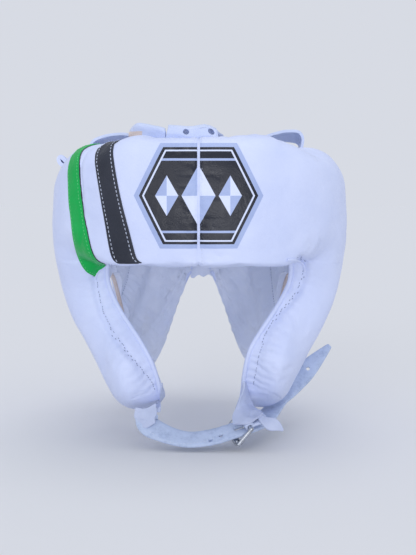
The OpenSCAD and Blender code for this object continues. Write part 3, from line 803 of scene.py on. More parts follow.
class Detail:
    """Seams, gathers and slack of one piece; make(tree) gives its seams, and extra its slack."""

    def __init__(self, make, extra):
        self.make, self.extra = make, extra
        self.seams = None

    def __call__(self, tree):
        if self.seams is None:
            self.seams = self.make(tree)
        return lambda p: sum(s.lift(p) for s in self.seams) + self.extra(p)

    def sewn(self, p):
        """True on a stitched line, where the leather is held down."""
        return any(s.groove > HELD_GROOVE and s.tree.find(p)[2] < HELD_REACH * MM for s in self.seams)


def front_seams(side, cheek_pixels):
    """Seams and gathers of one half of the front."""
    face = front_face("cover", side)

    def make(tree):
        seams = [Seam(seen_path(tree, cheek_pixels), *CHEEK_SEAM),
                 line_seam(lambda t: face(0 * t - 1, t * BROW_SHARE), *CENTRE_SEAM),
                 line_seam(lambda t: face(0 * t + 1, t), *FRONT_EAR_SEAM),
                 line_seam(lambda t: face(t * 2 - 1, 0 * t), *TOP_GATHER[side])]
        if side < 0:
            seams.append(line_seam(lambda t: face(0 * t, t * BROW_SHARE), *TEMPLE_SEAM))
        return seams
    return Detail(make, uneven)


def rear_seams(side):
    """Seam and gathers of one rear pad."""
    face = rear_face("cover", side)
    return Detail(lambda tree: [line_seam(lambda t: face(0 * t, t), *REAR_EAR_SEAM),
                                line_seam(lambda t: face(t, 0 * t), *REAR_TOP_GATHER),
                                line_seam(lambda t: face(0 * t + 1, t), *REAR_GAP_GATHER)], uneven)


FORE = (FOREHEAD_COLUMNS, UPPER_ROWS * FINE, -1, 0, BROW_SHARE)
ASIDE = (SIDE_COLUMNS, ROWS * FINE, 0, 1, 1)
REAR = (REAR_COLUMNS, ROWS * FINE, 0, 1, 1)
right_detail, left_detail = front_seams(-1, RIGHT_CHEEK_SEAM), front_seams(1, LEFT_CHEEK_SEAM)
SOFT_GIVE, FIRM_GIVE = 2.4, 0.7


def give(p):
    """How far the leather may move as it settles: firm over the forehead, soft on the cheeks."""
    return mix(SOFT_GIVE, FIRM_GIVE, ease((62 - abs(p.x)) / 16) * ease((p.z - 22) / 12) * ease(-p.y / 20))


# Swell, spare length and most movement of the cloth run
PUFF = (4.0, 0.011, give)


def filled_pad(name, parts, face, side, detail, nodes):
    """One filled pad of white leather over its foam; gives its outer surface."""
    bm, tree = drape(parts, face("cover", side), face("foam", side), detail, swell=PUFF)
    pad = piece(name, bm, WHITE, "shell", nodes)
    return tree


right_tree = filled_pad("side_pad_right", [ASIDE], front_face, -1, right_detail,
                        ("side_cover_right", "cheek_foam_right"))
fore_tree = filled_pad("forehead_panel_right", [FORE], front_face, -1, right_detail,
                       ("forehead_cover_right", "forehead_foam"))
left_tree = filled_pad("front_side_pad_left", [FORE, ASIDE], front_face, 1, left_detail,
                       ("front_side_cover_left", "cheek_foam_left"))
rear_trees = {side: filled_pad("rear_pad_" + word, [REAR], rear_face, side, rear_seams(side),
                               ("rear_cover_" + word, "rear_foam_" + word)) for side, word in SIDES}

# Linings
LINING_FINE = 8
LINED_SIDE = (60, ROWS * LINING_FINE, 0, 1, 1)
LINED_REAR = (64, ROWS * LINING_FINE, 0, 1, 1)
LINED_FORE = (40, UPPER_ROWS * LINING_FINE, -1, 0, BROW_SHARE)
LINING_PUFF = (5.0, 0.02, lambda p: 4.0)
REAR_LINES = {
    -1: [([(130, 264), (127, 280), (117, 308)], (1.0, 2.4, 0.5, 8.0, 6.0)),
         ([(153, 263), (148, 290), (140, 308), (130, 326)], (0.9, 4.0, 0.4, 10.0, 11.0)),
         ([(142, 305), (150, 307), (159, 313)], (0.8, 1.6, 0.3, 4.0, 5.0))],
    1: [([(270, 260), (272, 285), (275, 312)], (1.0, 2.4, 0.5, 8.0, 6.0)),
        ([(244, 264), (250, 292), (258, 322)], (0.9, 4.0, 0.4, 9.0, 9.0))],
}


def lining_detail(lines, side):
    """Sewn lines of a lining, with a gathered hem round the rear ones."""
    def make(tree):
        seams = [Seam(seen_path(tree, pixels), *shape) for pixels, shape in lines]
        if side:
            face = rear_face("lining", side)
            seams.append(line_seam(lambda t: face(0 * t + HEM_SIDE_SHARE, t), *LINING_SIDE_HEM))
            seams.append(line_seam(lambda t: face(t, 0 * t + HEM_LOW_SHARE), *LINING_LOW_HEM))
        return seams
    detail = Detail(make, None)

    def loose(p):
        bulge = 0.0
        if side:
            near = min(s.tree.find(p)[2] / MM for s in detail.seams)
            bulge = QUILT * (1 - math.exp(-(near / QUILT_REACH) ** 2))
        return bulge + slack(p, *LINING_WAVES) + slack(p, *LINING_DIMPLES)
    detail.extra = loose
    return detail


def lining(name, part, face, side, detail, nodes, swell=None):
    """One lining of soft leather; gives its inner surface."""
    bm, tree = drape([part], face("lining", side), face("lining_back", side), detail, -1, swell)
    piece(name, bm, INSIDE_PAINTED_LIGHT, "shell", nodes)
    return tree


lining_trees = {}
for side, word in SIDES:
    lining_trees[side] = lining("rear_lining_leather_" + word, LINED_REAR, rear_face, side,
                                lining_detail(REAR_LINES[side], side), ("rear_lining_" + word,), LINING_PUFF)
    lining("cheek_lining_leather_" + word, LINED_SIDE, front_face, side, lining_detail([], 0),
           ("cheek_lining_" + word,))
for side, word in SIDES:
    lining("forehead_lining_leather_" + word, LINED_FORE, front_face, side, lining_detail([], 0),
           ("forehead_lining",) if side < 0 else ())

# Turned edges and welts, with their radii in millimetres
BROW_WELT, FRONT_EDGE, REAR_EDGE_WELT, CORNER_WELT, EAR_WELT = 1.5, 1.7, 1.6, 1.0, 1.2


def rim(place):
    return even(edge_line(place, 600), RIM_STEP)


for side, word in SIDES:
    front_rim, rear_rim = front_face("rim", side), rear_face("rim", side)
    for name, radius, material, place in (
            ("brow_welt", BROW_WELT, WHITE, lambda t: front_rim(t - 1, 0 * t + BROW_SHARE)),
            ("face_edge", FRONT_EDGE, WHITE, lambda t: front_rim(0 * t, BROW_SHARE + t * (1 - BROW_SHARE))),
            ("jaw_edge", FRONT_EDGE, WHITE, lambda t: front_rim(t, 0 * t + 1)),
            ("top_edge", FRONT_EDGE, WHITE, lambda t: front_rim(t * 2 - 1, 0 * t)),
            ("ear_edge_front", REAR_EDGE_WELT, WHITE, lambda t: front_rim(0 * t + 1, t)),
            ("ear_edge_rear", REAR_EDGE_WELT, CREAM, lambda t: rear_rim(0 * t, t)),
            ("rear_low_edge", REAR_EDGE_WELT, WHITE, lambda t: rear_rim(t, 0 * t + 1)),
            ("rear_top_edge", REAR_EDGE_WELT, WHITE, lambda t: rear_rim(t, 0 * t)),
            ("rear_gap_edge", REAR_EDGE_WELT, WHITE, lambda t: rear_rim(0 * t + 1, t))):
        welt(name + "_" + word, rim(place), radius, material)

CORNERS = {-1: [(113, 265), (107, 265), (101, 267.5), (97, 272), (95, 279)],
           1: [(287, 259.5), (295, 259), (301, 261), (304.5, 265.5), (305, 272)]}
for (side, word), tree in zip(SIDES, (right_tree, left_tree)):
    welt("corner_welt_" + word, seen_path(tree, smooth_line(CORNERS[side], 2)), CORNER_WELT)
    seam = [tree.find_nearest(p)[0] for p in rim(lambda t: front_face("cover", side)(0 * t + 1, t))
            if p.z > (EAR_TOP_Z + 2) * MM]
    welt("ear_seam_welt_" + word, seam, EAR_WELT)

# Stripes on the right temple, drawn in the picture
GREEN_EDGES = (
    [(69.8, 162), (68, 170), (68.5, 185), (69, 203), (71, 216), (72.5, 233), (75.5, 248), (78.5, 258),
     (83, 267), (88, 272.5), (95, 276)],
    [(79.7, 161), (79.5, 172), (80.5, 185), (82.5, 203), (84.5, 217), (88, 234), (91, 248), (94.5, 256),
     (99, 261), (106.5, 263.8)])
BLACK_EDGES = (
    [(95.3, 157), (95.4, 163), (97.2, 176), (100.6, 196), (102.6, 208), (105.2, 222), (106.9, 233),
     (109.2, 246), (110.8, 253), (112.2, 257), (114.2, 260.4), (117.6, 262.4)],
    [(113.5, 156), (115, 168), (118.2, 186), (122.6, 206), (126.9, 222), (129.9, 233), (133.1, 246),
     (135.8, 256), (138, 260), (142, 262.3)])
FRONT_RIGHT = [right_tree, fore_tree]
STRIPE_LEATHER, STRIPE_SINK, STRIPE_THINNING, STRIPE_STEPS = 1.2, 0.4, 0.55, 120
OVER, TURN_STEPS, TURN_ROUNDS, DARK_EDGE = 0.26, 8, 10, 0.55
SEWN_SHARES, DARK_EDGE_SHARE = (0.14, 0.86), 0.999


def along_line(pixels, t):
    """Point at share t of a picture line, by length."""
    steps = [math.dist(a, b) for a, b in zip(pixels, pixels[1:])]
    run = t * sum(steps)
    for a, b, step in zip(pixels, pixels[1:], steps):
        if run <= step:
            return between(a, b, run / step)
        run -= step
    return pixels[-1]


def on_front(trees, eye, ray):
    """First point that a ray meets on the pads, with its normal."""
    hits = [hit for hit in (tree.ray_cast(eye, ray) for tree in trees) if hit[0] is not None]
    return min(hits, key=lambda hit: hit[3])[:2] if hits else None


def nearest(trees, p):
    return min((tree.find_nearest(p) for tree in trees), key=lambda found: found[3])[:2]


def temple_point(phi, share):
    """Point of the right temple by angle and by share of the way up to the top edge."""
    z = mix(60, top_z(phi), share)
    p = head_point(phi, z) + (pad_mm(phi) * top_edge(phi, z) + COVER)[..., None] * head_normal(phi, z)
    p[..., 2] -= top_drop(phi, z, -1)
    p[..., 0] *= -1
    return p * MM


temple_places = np.array([(phi, share) for phi in np.linspace(22, 88, 199)
                          for share in np.linspace(0, 1, 101)])
temple_spots = KDTree(len(temple_places))
for k, p in enumerate(temple_point(temple_places[:, 0], temple_places[:, 1])):
    temple_spots.insert(p, k)
temple_spots.balance()


def stripe(name, edges, across, material, node, sweep=0.0, hollow=0.0):
    """Leather strip laid on the pads between two lines of the picture and turned over the top edge."""
    low, high = smooth_line(edges[0]), smooth_line(edges[1])
    along = STRIPE_STEPS

    def seen(a, t):
        t *= 1 - 4 * hollow * a * (1 - a)
        return on_front(FRONT_RIGHT, EYE, sight(*between(along_line(low, t), along_line(high, t), a)))

    def place(a, t):
        return temple_places[temple_spots.find(seen(a, t)[0])[1]]

    shares = np.linspace(0, 1, across + 1)
    first, later = (np.array([place(a, t) for a in shares]) for t in (0, 0.1))
    lean = sweep + np.mean((first[:, 0] - later[:, 0]) / (first[:, 1] - later[:, 1]))
    phis, rises = (np.polyval(np.polyfit(shares, first[:, c], 2), shares) for c in (0, 1))
    rows = {}
    for k, a in enumerate(shares):
        for j in range(along + 1):
            t = j / along
            if t < OVER:
                rise = mix(1, rises[k], t / OVER)
                phi = phis[k] + lean * (rise - rises[k])
                rows[k, j] = Vector(temple_point(np.array([phi]), np.array([rise]))[0])
            else:
                hit = seen(a, (t - OVER) / (1 - OVER))
                rows[k, j] = hit[0] if hit else None
        turn = round(OVER * along)
        for _ in range(TURN_ROUNDS):
            for j in range(turn - TURN_STEPS, turn + TURN_STEPS):
                rows[k, j] = (rows[k, j - 1] + 2 * rows[k, j] + rows[k, j + 1]) / 4
        for j in range(along + 1):
            rows[k, j] = nearest(FRONT_RIGHT, rows[k, j]) if rows[k, j] else None
    bm = bmesh.new()
    bmesh.ops.create_grid(bm, x_segments=across, y_segments=along, size=0.5)
    back, gone = [], []
    for v in numbered(bm):
        k, j = round((v.co.x + 0.5) * across), round((v.co.y + 0.5) * along)
        if rows[k, j] is None:
            back.append(None)
            gone.append(v)
            continue
        point, normal = rows[k, j]
        edge = abs(2 * k / across - 1) ** 6
        v.co = point + normal * STRIPE_LEATHER * (1 - STRIPE_THINNING * edge) * MM
        back.append(point - normal * STRIPE_SINK * MM)
    bmesh.ops.delete(bm, geom=gone, context="VERTS")
    inside = [v for v in bm.verts if not v.is_boundary]
    for _ in range(2):
        bmesh.ops.smooth_vert(bm, verts=inside, factor=0.5, use_axis_x=True, use_axis_y=True, use_axis_z=True)
    face_to(bm, (0, -1, 0))
    tree = BVHTree.FromBMesh(bm)
    lines = {}
    for share in (*SEWN_SHARES, DARK_EDGE_SHARE):
        k = share * across
        pairs = [(rows[int(k), j], rows[int(k) + 1, j]) for j in range(along + 1)]
        lines[share] = [one[0].lerp(two[0], k % 1) for one, two in pairs if one and two]
    draw_through(bm, back)
    piece(name, bm, material, "shell", (node,))
    return tree, lines


green_tree, green_lines = stripe("green_strip", GREEN_EDGES, 12, GREEN, "green_stripe",
                                 sweep=8, hollow=0.014)
black_tree, black_lines = stripe("black_strip", BLACK_EDGES, 14, BLACK, "black_stripe")
welt("green_strip_dark_edge", green_lines[DARK_EDGE_SHARE], DARK_EDGE, BLACK)

# Stitching: length, pitch, width and height of a stitch in millimetres
GREEN_STITCH, BLACK_STITCH, CHEEK_STITCH = (1.7, 2.5, 0.5, 0.5), (1.9, 2.8, 0.55, 0.5), (1.5, 2.1, 0.6, 0.5)
FINE_STITCH, LINING_STITCH, STRAP_STITCH = (1.5, 2.4, 0.5, 0.45), (1.6, 2.5, 0.55, 0.5), (1.9, 2.8, 0.6, 0.55)
centre = edge_line(lambda t: front_face("cover", 1)(0 * t - 0.972, BROW_SHARE * (0.1 + 0.88 * t)))
stitches("green_strip_stitches", GREEN_THREAD, "shell",
         [(green_tree, green_lines[share], GREEN_STITCH) for share in SEWN_SHARES])
stitches("black_strip_stitches", PALE_THREAD, "shell",
         [(black_tree, black_lines[share], BLACK_STITCH) for share in SEWN_SHARES])
stitches("cheek_stitches", DARK_THREAD, "shell",
         [(tree, detail.seams[0].points, CHEEK_STITCH)
          for tree, detail in ((right_tree, right_detail), (left_tree, left_detail))])
stitches("centre_stitches", PALE_THREAD, "shell", [(left_tree, centre, FINE_STITCH)])
stitches("lining_stitches", DARK_THREAD, "shell",
         [(tree, seen_path(tree, REAR_LINES[side][0][0]), LINING_STITCH)
          for side, tree in lining_trees.items()])

# Forehead emblem: a long hexagon with three split lozenges
EMBLEM_Z, EMBLEM_W, EMBLEM_H, EMBLEM_SLANT = 72.5, 42.0, 34.0, 0.5
EMBLEM_FINISHES = [PRINT_BLACK, PRINT_GREY, PRINT_WHITE]
BLACK_PART, GREY_PART, WHITE_PART = range(3)
EMBLEM_RINGS = ((1.0, None), (0.92, GREY_PART), (0.87, BLACK_PART), (0.84, WHITE_PART))
EMBLEM_BAR, EMBLEM_SPLIT, EMBLEM_SHEET = (22.5, 24.0), 1.0, (88, 72)
EMBLEM_PROUD, EMBLEM_SINK, IN_FRONT = 0.22, 0.3, -0.3
LOZENGES = ((-20.5, 7.5, 13.0), (0.0, 11.0, 20.0), (20.5, 7.5, 13.0))
BOTH_WAYS = (-1, 1)


def emblem_finish(x, z):
    """Finish at a place of the emblem, or None outside it."""
    for scale, outside in EMBLEM_RINGS:
        if abs(z) > EMBLEM_H * scale or abs(x) + EMBLEM_SLANT * abs(z) > EMBLEM_W * scale:
            return outside
    for cx, w, h in LOZENGES:
        if abs(x - cx) / w + abs(z) / h <= 1:
            return WHITE_PART if (x > cx) == (z > 0) else GREY_PART
    return GREY_PART if EMBLEM_BAR[0] < abs(z) < EMBLEM_BAR[1] else BLACK_PART


def emblem_cut(bm, nx, nz, x, z):
    bmesh.ops.bisect_plane(bm, geom=bm.verts[:] + bm.edges[:] + bm.faces[:], dist=1e-4,
                           plane_co=(x, 0, z), plane_no=(nx, 0, nz))


bm = bmesh.new()
bmesh.ops.create_grid(bm, x_segments=132, y_segments=104, size=0.5)
for v in bm.verts:
    v.co = (v.co.x * EMBLEM_SHEET[0], 0, v.co.y * EMBLEM_SHEET[1])
for scale, _ in EMBLEM_RINGS:
    for sign in BOTH_WAYS:
        emblem_cut(bm, 0, 1, 0, sign * EMBLEM_H * scale)
        for other in BOTH_WAYS:
            emblem_cut(bm, sign, other * EMBLEM_SLANT, sign * EMBLEM_W * scale, 0)
for level in EMBLEM_BAR:
    emblem_cut(bm, 0, 1, 0, level)
    emblem_cut(bm, 0, 1, 0, -level)
emblem_cut(bm, 0, 1, 0, 0)
for cx, w, h in LOZENGES:
    emblem_cut(bm, 1, 0, cx, 0)
    for sign in BOTH_WAYS:
        for other in BOTH_WAYS:
            emblem_cut(bm, sign / w, other / h, cx + sign * w, 0)
emblem_cut(bm, 1, 0, EMBLEM_SPLIT, 0)
emblem_cut(bm, 1, 0, -EMBLEM_SPLIT, 0)
drop = []
for f in bm.faces:
    c = f.calc_center_median()
    finish = emblem_finish(c.x, c.z)
    if finish is None or abs(c.x) < EMBLEM_SPLIT:
        drop.append(f)
    else:
        f.material_index = finish
bmesh.ops.delete(bm, geom=drop, context="FACES")
under = []
for v in numbered(bm):
    start = Vector((v.co.x * MM, IN_FRONT, (v.co.z + EMBLEM_Z) * MM))
    point, normal = on_front(FRONT_RIGHT + [left_tree], start, Vector((0, 1, 0)))
    v.co = point + normal * EMBLEM_PROUD * MM
    under.append(point - normal * EMBLEM_SINK * MM)
face_to(bm, (0, -1, 0))
draw_through(bm, under)
piece("forehead_emblem", bm, EMBLEM_FINISHES, "shell")

# Straps and small leather pieces
STRAP_THICK, FOLDED_THICK, TAB_THICK, TAPE_THICK, FOLD_THICK, LOOP_THICK = 2.0, 1.8, 1.5, 1.1, 0.6, 2.8
HANG_LOOP = [(-92.0, 86.0), (-97.5, 92.8), (-102.2, 99.2), (-106.0, 101.4), (-108.6, 99.0), (-107.6, 95.0),
             (-103.2, 91.2), (-97.6, 86.0), (-93.0, 81.0)]
leather_sheet("hang_loop_right", [[(x, y, z + rise) for y, rise in ((2, -0.6), (6, 0), (10, 0), (14, -0.8))]
                                  for x, z in HANG_LOOP],
              16, 60, LOOP_THICK, WHITE, "shell", (), (0, 0, 1), ((8, 0.3),))


def front_fold(p):
    """Front fold of the long crown strap: shifted edges and a top that droops to one side."""
    share = ease((-58 - p.y) / 15)
    return Vector((p.x - 4.0 * ease((abs(p.x) - 11) / 6) * share, p.y,
                   p.z - share * (2.6 * ease((p.x - 2) / 14) - 0.5 * math.sin(p.x / 4.2))))


def hanging_web(p):
    return Vector((p.x, p.y, p.z - (8.5 + math.sin(p.x * 0.7)) * ease((34 - p.z) / 25)))


def hanging_tongue(p):
    return Vector((p.x, p.y, p.z + 7.0 * ease((p.x - 45) / 13)))


copy_of("crown_strap_front_to_back", "crown_strap_long", STRAP, "shell", soft=1.2, bend=front_fold)
CROSS_STRAP = [(-72.6, 76, 0), (-71.6, 86, 0), (-70.2, 94.5, 0), (-71.4, 100, 1), (-76, 104.5, 3.5),
               (-80, 108.3, 5.5), (-77.5, 112.2, 6.5), (-69.5, 115.2, 6.8), (-59, 116.6, 6.2),
               (-47, 115.2, 4.5), (-33, 111.2, 2), (-18, 109, 0.4), (0, 108.8, 0), (18, 109, 0.3),
               (34, 111, 2), (48, 115, 4.5), (59, 118.2, 6), (68, 119.4, 6.8), (74, 117.6, 6.5),
               (76.5, 112, 5), (74.5, 104.5, 2.5), (71.2, 98, 0.5), (70.6, 90, 0), (72.4, 76, 0)]
leather_sheet("crown_strap_side_to_side",
              [[(x * (0.982 if z < 99 else 1), -27.5, z), (x, -14, z - 0.5 * drop + 0.4), (x, -0.5, z - drop)]
               for x, z, drop in CROSS_STRAP], 14, 150, STRAP_THICK, STRAP, "shell",
              ("crown_strap_cross",), (0, 0, 1), ((16, 0.7),))
FOLDED_TAB = [(-23.0, -80.2, 116.6), (-31, -77.8, 119.0), (-38, -75.0, 120.2), (-44, -71.5, 120.0),
              (-48.5, -68.6, 115.4)]
FOLDED_LOW_Z = 104
TAB_FOLDS = ((1.2, 0.05, 0), (-0.8, 0.55, 0), (-2.6, 0.85, 0), (-2.0, 1, 0), (1.8, 1, 0.9), (7.0, 0.9, 0),
             (10.5, 0.5, 0))
leather_sheet("crown_folded_tab",
              [[(x, y + dy, mix(FOLDED_LOW_Z, top, rise) + dz) for x, y, top in FOLDED_TAB]
               for dy, rise, dz in TAB_FOLDS],
              30, 44, FOLDED_THICK, STRAP, "shell", ("crown_lace_tab",), (0, -1, 0.4),
              ((9, 0.6),), raw=lambda c: c.x < -39 and c.y < -68 and 110.5 < c.z < 115.6)
copy_of("rear_gap_web", "rear_web", INSIDE_PAINTED_LIGHT, "shell", soft=1.8, bend=hanging_web)

# Rear closure, laid over the settled rear pads; the strap lies between two rows of the pads' grid
REAR_GRID, STRAP_TOP_ROW, STRAP_LOW_ROW = 8, 4, 9
STRAP_SHARES = np.linspace(0, 1, 6)
SEWN_WIDTH = np.linspace(0.03, 0.97, 40)
ROOT_COLUMN, BACK_COLUMN, END_COLUMN = 4.06, 6.2, 3
ROOT_LIFT, BACK_LIFT, CLOSED_LIFT = 2.3, 3.8, 4.8


def on_rear(i, share, side, lift):
    """Point over a rear pad by column and by share of the strap's width, in millimetres."""
    j = np.linspace(STRAP_TOP_ROW - 0.2, STRAP_LOW_ROW + 0.2, 109)
    heights = rear_place(0 * j + i / REAR_GRID, j)[1]
    z = mix(np.interp(STRAP_TOP_ROW, j, heights), np.interp(STRAP_LOW_ROW, j, heights), share)
    phi, z, full = rear_place(np.array(i / REAR_GRID), np.array(np.interp(-z, -heights, j)))
    normal = Vector(head_normal(phi, z))
    base = Vector(head_point(phi, z)) + normal * float(pad_mm(phi) * full + COVER)
    base.x, normal.x = base.x * side, normal.x * side
    return rear_trees[side].find_nearest(base * MM)[0] / MM + normal * float(lift)


def behind(x, z, lift):
    """Point over the rear pads straight behind a place, or far forward where no pad is."""
    hits = [tree.ray_cast(Vector((x, 300, z)) * MM, Vector((0, -1, 0)))[0] for tree in rear_trees.values()]
    return Vector((x, max([h.y / MM + lift for h in hits if h] + [0.0]), z))


def taut(points):
    """The same points from side to side, with each hollow bridged straight."""
    points = sorted(points, key=lambda p: p.x)
    hull = []
    for p in points:
        while len(hull) > 1 and ((hull[-1].x - hull[-2].x) * (p.y - hull[-2].y)
                                 >= (hull[-1].y - hull[-2].y) * (p.x - hull[-2].x)):
            hull.pop()
        hull.append(p)
    return [Vector((p.x, np.interp(p.x, [h.x for h in hull], [h.y for h in hull]), p.z)) for p in points]


def rear_patch(name, columns, inset, side, lift, thick, material, body, node):
    """Flat piece sewn or stuck on a rear pad between two of its columns."""
    rows = [[tuple(on_rear(i, mix(inset, 1 - inset, share), side, lift)) for share in STRAP_SHARES]
            for i in np.linspace(*columns, 7)]
    leather_sheet(name, rows, 24, 40, thick, material, body, (node,), (side, 1, 0), ((12, 0.1),))


def rear_row(tree, i, lift):
    """Row of strap stitches down one column of the right rear pad."""
    return tree, [on_rear(i, share, -1, lift) * MM for share in SEWN_WIDTH], STRAP_STITCH


rear_patch("rear_strap_root", (3, 4), 0.0, -1, 2.2, STRAP_THICK, STRAP, "shell",
           "rear_strap_anchor")
rear_patch("rear_loop_tape", (3.3, 5), 0.1, 1, 1.2, TAPE_THICK, LOOP, "shell", "rear_loop_patch")
rear_patch("rear_hook_tape", (3.3, 5), 0.1, 1, 2.5, TAPE_THICK, HOOK, "rear_strap_body",
           "rear_hook_patch")
lines = []
for share in STRAP_SHARES:
    rooted = [on_rear(i, share, -1, ROOT_LIFT + 1.5 * ease(i - ROOT_COLUMN))
              for i in np.linspace(ROOT_COLUMN, BACK_COLUMN, 16)]
    closed = [on_rear(i, share, 1, CLOSED_LIFT) for i in np.linspace(BACK_COLUMN, END_COLUMN, 20)]
    bridge = [rooted[-1].lerp(closed[0], t) for t in np.linspace(0, 1, 12)[1:-1]]
    bridge = [behind(p.x, p.z, mix(BACK_LIFT, CLOSED_LIFT, ease((p.x + 20) / 40))) for p in bridge]
    lines.append(taut(rooted + bridge + closed))
strap_rows = [list(across) for across in zip(*lines)]
for row, pinch in ((strap_rows[-1], 0.5), (strap_rows[-2], 0.12)):
    row[0], row[-1] = row[0].lerp(row[1], pinch), row[-1].lerp(row[-2], pinch)
rear_strap = leather_sheet("rear_strap_leather", strap_rows, 24, 160, STRAP_THICK, STRAP, "rear_strap_body",
                           ("rear_strap",), (0, 1, 0), ((14, 0.16),))
FOLD_COLUMNS = ((3.5, 2.9), (3.8, 2.95), (4.05, 3.1), (4.3, 3.5), (4.55, 4.0))
fold = leather_sheet("rear_strap_fold", [[tuple(on_rear(i, share, -1, lift)) for i, lift in FOLD_COLUMNS]
                                         for share in np.linspace(-0.012, 1.012, 6)],
                     20, 40, FOLD_THICK, STRAP, None, (), (-0.7, 0.7, 0), ((12, 0.1),))
fold_tree, strap_tree = tree_of(fold), tree_of(rear_strap)
on_rear(3.9, 0.5, -1, 3) * MM
on_rear(4.2, 0.5, -1, 3) * MM
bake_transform(fold)
stitches("rear_strap_stitches", DARK_THREAD, "rear_strap_body",
         [(strap_tree, [row[one].lerp(row[two], 0.4) * MM for row in strap_rows[5:-1]], STRAP_STITCH)
          for one, two in ((0, 1), (-1, -2))]
         + [(strap_tree, [p * MM for p in strap_rows[-4]], STRAP_STITCH), rear_row(fold_tree, 4.4, 3.7)])
stitches("rear_root_stitches", DARK_THREAD, "shell", [rear_row(fold_tree, i, 2.9) for i in (3.58, 3.72)])

# Chin strap and buckle
copy_of("chin_tab_right", "chin_anchor_right", TAB_PAINTED_SHADE, "shell", soft=1.2)
tab = leather_sheet("chin_tab_end_right", [
    [(-45.0, -71.6, -77.0), (-38, -72.4, -77.4), (-30.6, -71.4, -74.0)],
    [(-46.0, -73.6, -82.6), (-38, -74.8, -83.0), (-29.8, -73.4, -80.6)],
    [(-44.8, -74.4, -86.0), (-38, -75.2, -86.6), (-31.0, -74.8, -83.6)],
    [(-43.4, -75.4, -89.7), (-37.5, -76.2, -91.0), (-30.8, -76.0, -87.2)],
], 20, 24, TAB_THICK, TAB_PAINTED_SHADE, None, (), (0, -1, 0), ((7, 0.7), (3.5, 0.25)))
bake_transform(tab)
tab = leather_sheet("chin_tab_left", [
    [(32.0, -58.5, -57.0), (32.8, -57.0, -57.5), (33.6, -55.4, -58.0)],
    [(32.5, -61.0, -66.0), (34.0, -57.5, -67.0), (36.0, -53.0, -68.0)],
    [(27.3, -67.0, -75.5), (32.5, -62.5, -76.5), (38.0, -55.5, -77.0)],
    [(23.4, -74.0, -82.0), (32.0, -74.5, -81.0), (42.0, -65.0, -80.0)],
    [(23.5, -80.0, -86.8), (34.5, -84.5, -84.8), (44.5, -74.5, -80.4)],
], 24, 36, TAB_THICK, TAB_PAINTED_SHADE, None, ("chin_anchor_left",), (0, -1, 0), ((8, 0.6), (3.5, 0.15)))
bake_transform(tab)
strap = copy_of("chin_strap_leather", "chin_strap", FLESH_PAINTED_SHADE, "chin_strap_body", levels=2)
copy_of("buckle_chape", "buckle_tab", STRAP, "chin_strap_body", levels=1, crease=0.9)
copy_of("chape_tongue", "tab_tongue", TAB_PAINTED_SHADE, "chin_strap_body", bend=hanging_tongue)

# Hole in the tail of the strap, punched square to the leather
TAIL_HOLE_PX, HOLE_RADIUS, PUNCH_LENGTH = (308, 368), 1.5, 20
punch = bmesh.new()
bmesh.ops.create_cone(punch, cap_ends=True, segments=24, radius1=HOLE_RADIUS * MM, radius2=HOLE_RADIUS * MM,
                      depth=PUNCH_LENGTH * MM)
tail, normal, _, _ = tree_of(strap).ray_cast(EYE, sight(*TAIL_HOLE_PX))
turn = normal.to_track_quat("Z", "Y").to_matrix().to_4x4()
bmesh.ops.transform(punch, matrix=Matrix.Translation(tail) @ turn, verts=punch.verts[:])
punch_mesh = bpy.data.meshes.new("punch")
punch.to_mesh(punch_mesh)
punch.free()
punch_tool = in_scene("punch", punch_mesh)
hole = strap.modifiers.new("hole", "BOOLEAN")
hole.operation, hole.solver, hole.object = "DIFFERENCE", "EXACT", punch_tool
apply_modifiers(strap)
bpy.data.objects.remove(punch_tool)
bpy.data.meshes.remove(punch_mesh)
chin_tree = tree_of(strap)
LOOP_STITCHES = [(150, 431), (160, 438), (172, 442.2), (187, 443.4), (205, 441), (221, 434.5), (231, 429.5)]
TAIL_STITCHES = [(283, 402), (295, 392), (306, 382.5), (317, 372)]
stitches("chin_strap_stitches", PALE_THREAD, "chin_strap_body",
         [(chin_tree, seen_path(chin_tree, line), FINE_STITCH) for line in (LOOP_STITCHES, TAIL_STITCHES)])
for node in ("buckle_frame", "buckle_roller", "buckle_prong"):
    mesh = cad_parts[node].data
    mesh.materials.clear()
    mesh.materials.append(STEEL)

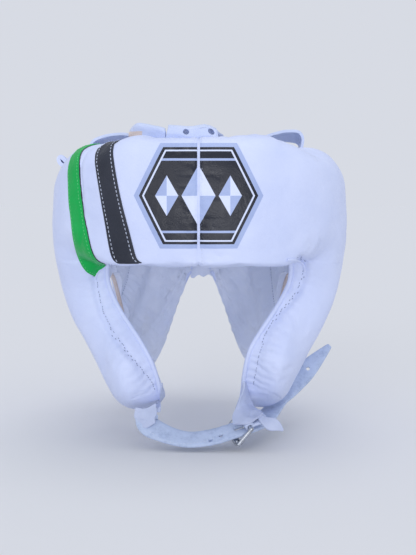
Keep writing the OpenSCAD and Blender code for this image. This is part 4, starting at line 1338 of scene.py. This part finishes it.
# Studio: three soft suns, and a backdrop as bright as the floor under them
SKY, SKY_LEVEL, FLOOR, FLOOR_Z, FLOOR_HALF = (0.88, 0.92, 1.0), 0.79, linear((226, 226, 228)), -0.106, 6
LAMPS = (("key", (0.45, 1.2, -0.39), 0.48, 34, (1, 0.99, 0.98)),
         ("front", (-0.14, 1, -0.03), 0.68, 12, (0.98, 0.98, 1)),
         ("top", (-0.1, -0.1, -1), 0.5, 40, (0.95, 0.97, 1)))
on_floor = [level * SKY_LEVEL for level in SKY]
for name, ray, power, spread, colour in LAMPS:
    data = bpy.data.lights.new(name, "SUN")
    data.energy, data.angle, data.color = power, math.radians(spread), colour
    in_scene(name, data).rotation_euler = Vector(ray).to_track_quat("-Z", "Y").to_euler()
    fall = -Vector(ray).normalized().z * power / math.pi
    on_floor = [level + fall * c for level, c in zip(on_floor, colour)]

world = bpy.data.worlds.new("studio")
world.use_nodes = True
sky_tree = world.node_tree
sky = sky_tree.nodes["Background"]
sky.inputs["Color"].default_value = (*SKY, 1)
sky.inputs["Strength"].default_value = SKY_LEVEL
backdrop = sky_tree.nodes.new("ShaderNodeBackground")
backdrop.inputs["Color"].default_value = (*(level * f for level, f in zip(on_floor, FLOOR)), 1)
path = sky_tree.nodes.new("ShaderNodeLightPath")
seen = path.outputs["Is Camera Ray"]
for other in ("Is Glossy Ray", "Is Transmission Ray"):
    either = sky_tree.nodes.new("ShaderNodeMath")
    either.operation = "MAXIMUM"
    sky_tree.links.new(seen, either.inputs[0])
    sky_tree.links.new(path.outputs[other], either.inputs[1])
    seen = either.outputs[0]
choose = sky_tree.nodes.new("ShaderNodeMixShader")
for k, source in enumerate((seen, sky.outputs[0], backdrop.outputs[0])):
    sky_tree.links.new(source, choose.inputs[k])
sky_tree.links.new(choose.outputs[0], sky_tree.nodes["World Output"].inputs["Surface"])
bpy.context.scene.world = world

bm = bmesh.new()
bmesh.ops.create_grid(bm, x_segments=1, y_segments=1, size=FLOOR_HALF)
bmesh.ops.transform(bm, matrix=Matrix.Translation((0, 0, FLOOR_Z)), verts=bm.verts[:])
floor_mesh = bpy.data.meshes.new("floor")
bm.to_mesh(floor_mesh)
bm.free()
floor_mesh.materials.append(Nodes("pale_floor").finish(
    {"Base Color": FLOOR, "Roughness": 0.8, "Specular IOR Level": 0.0}))
floor = in_scene("floor", floor_mesh)

bpy.context.scene.view_settings.view_transform = "Standard"
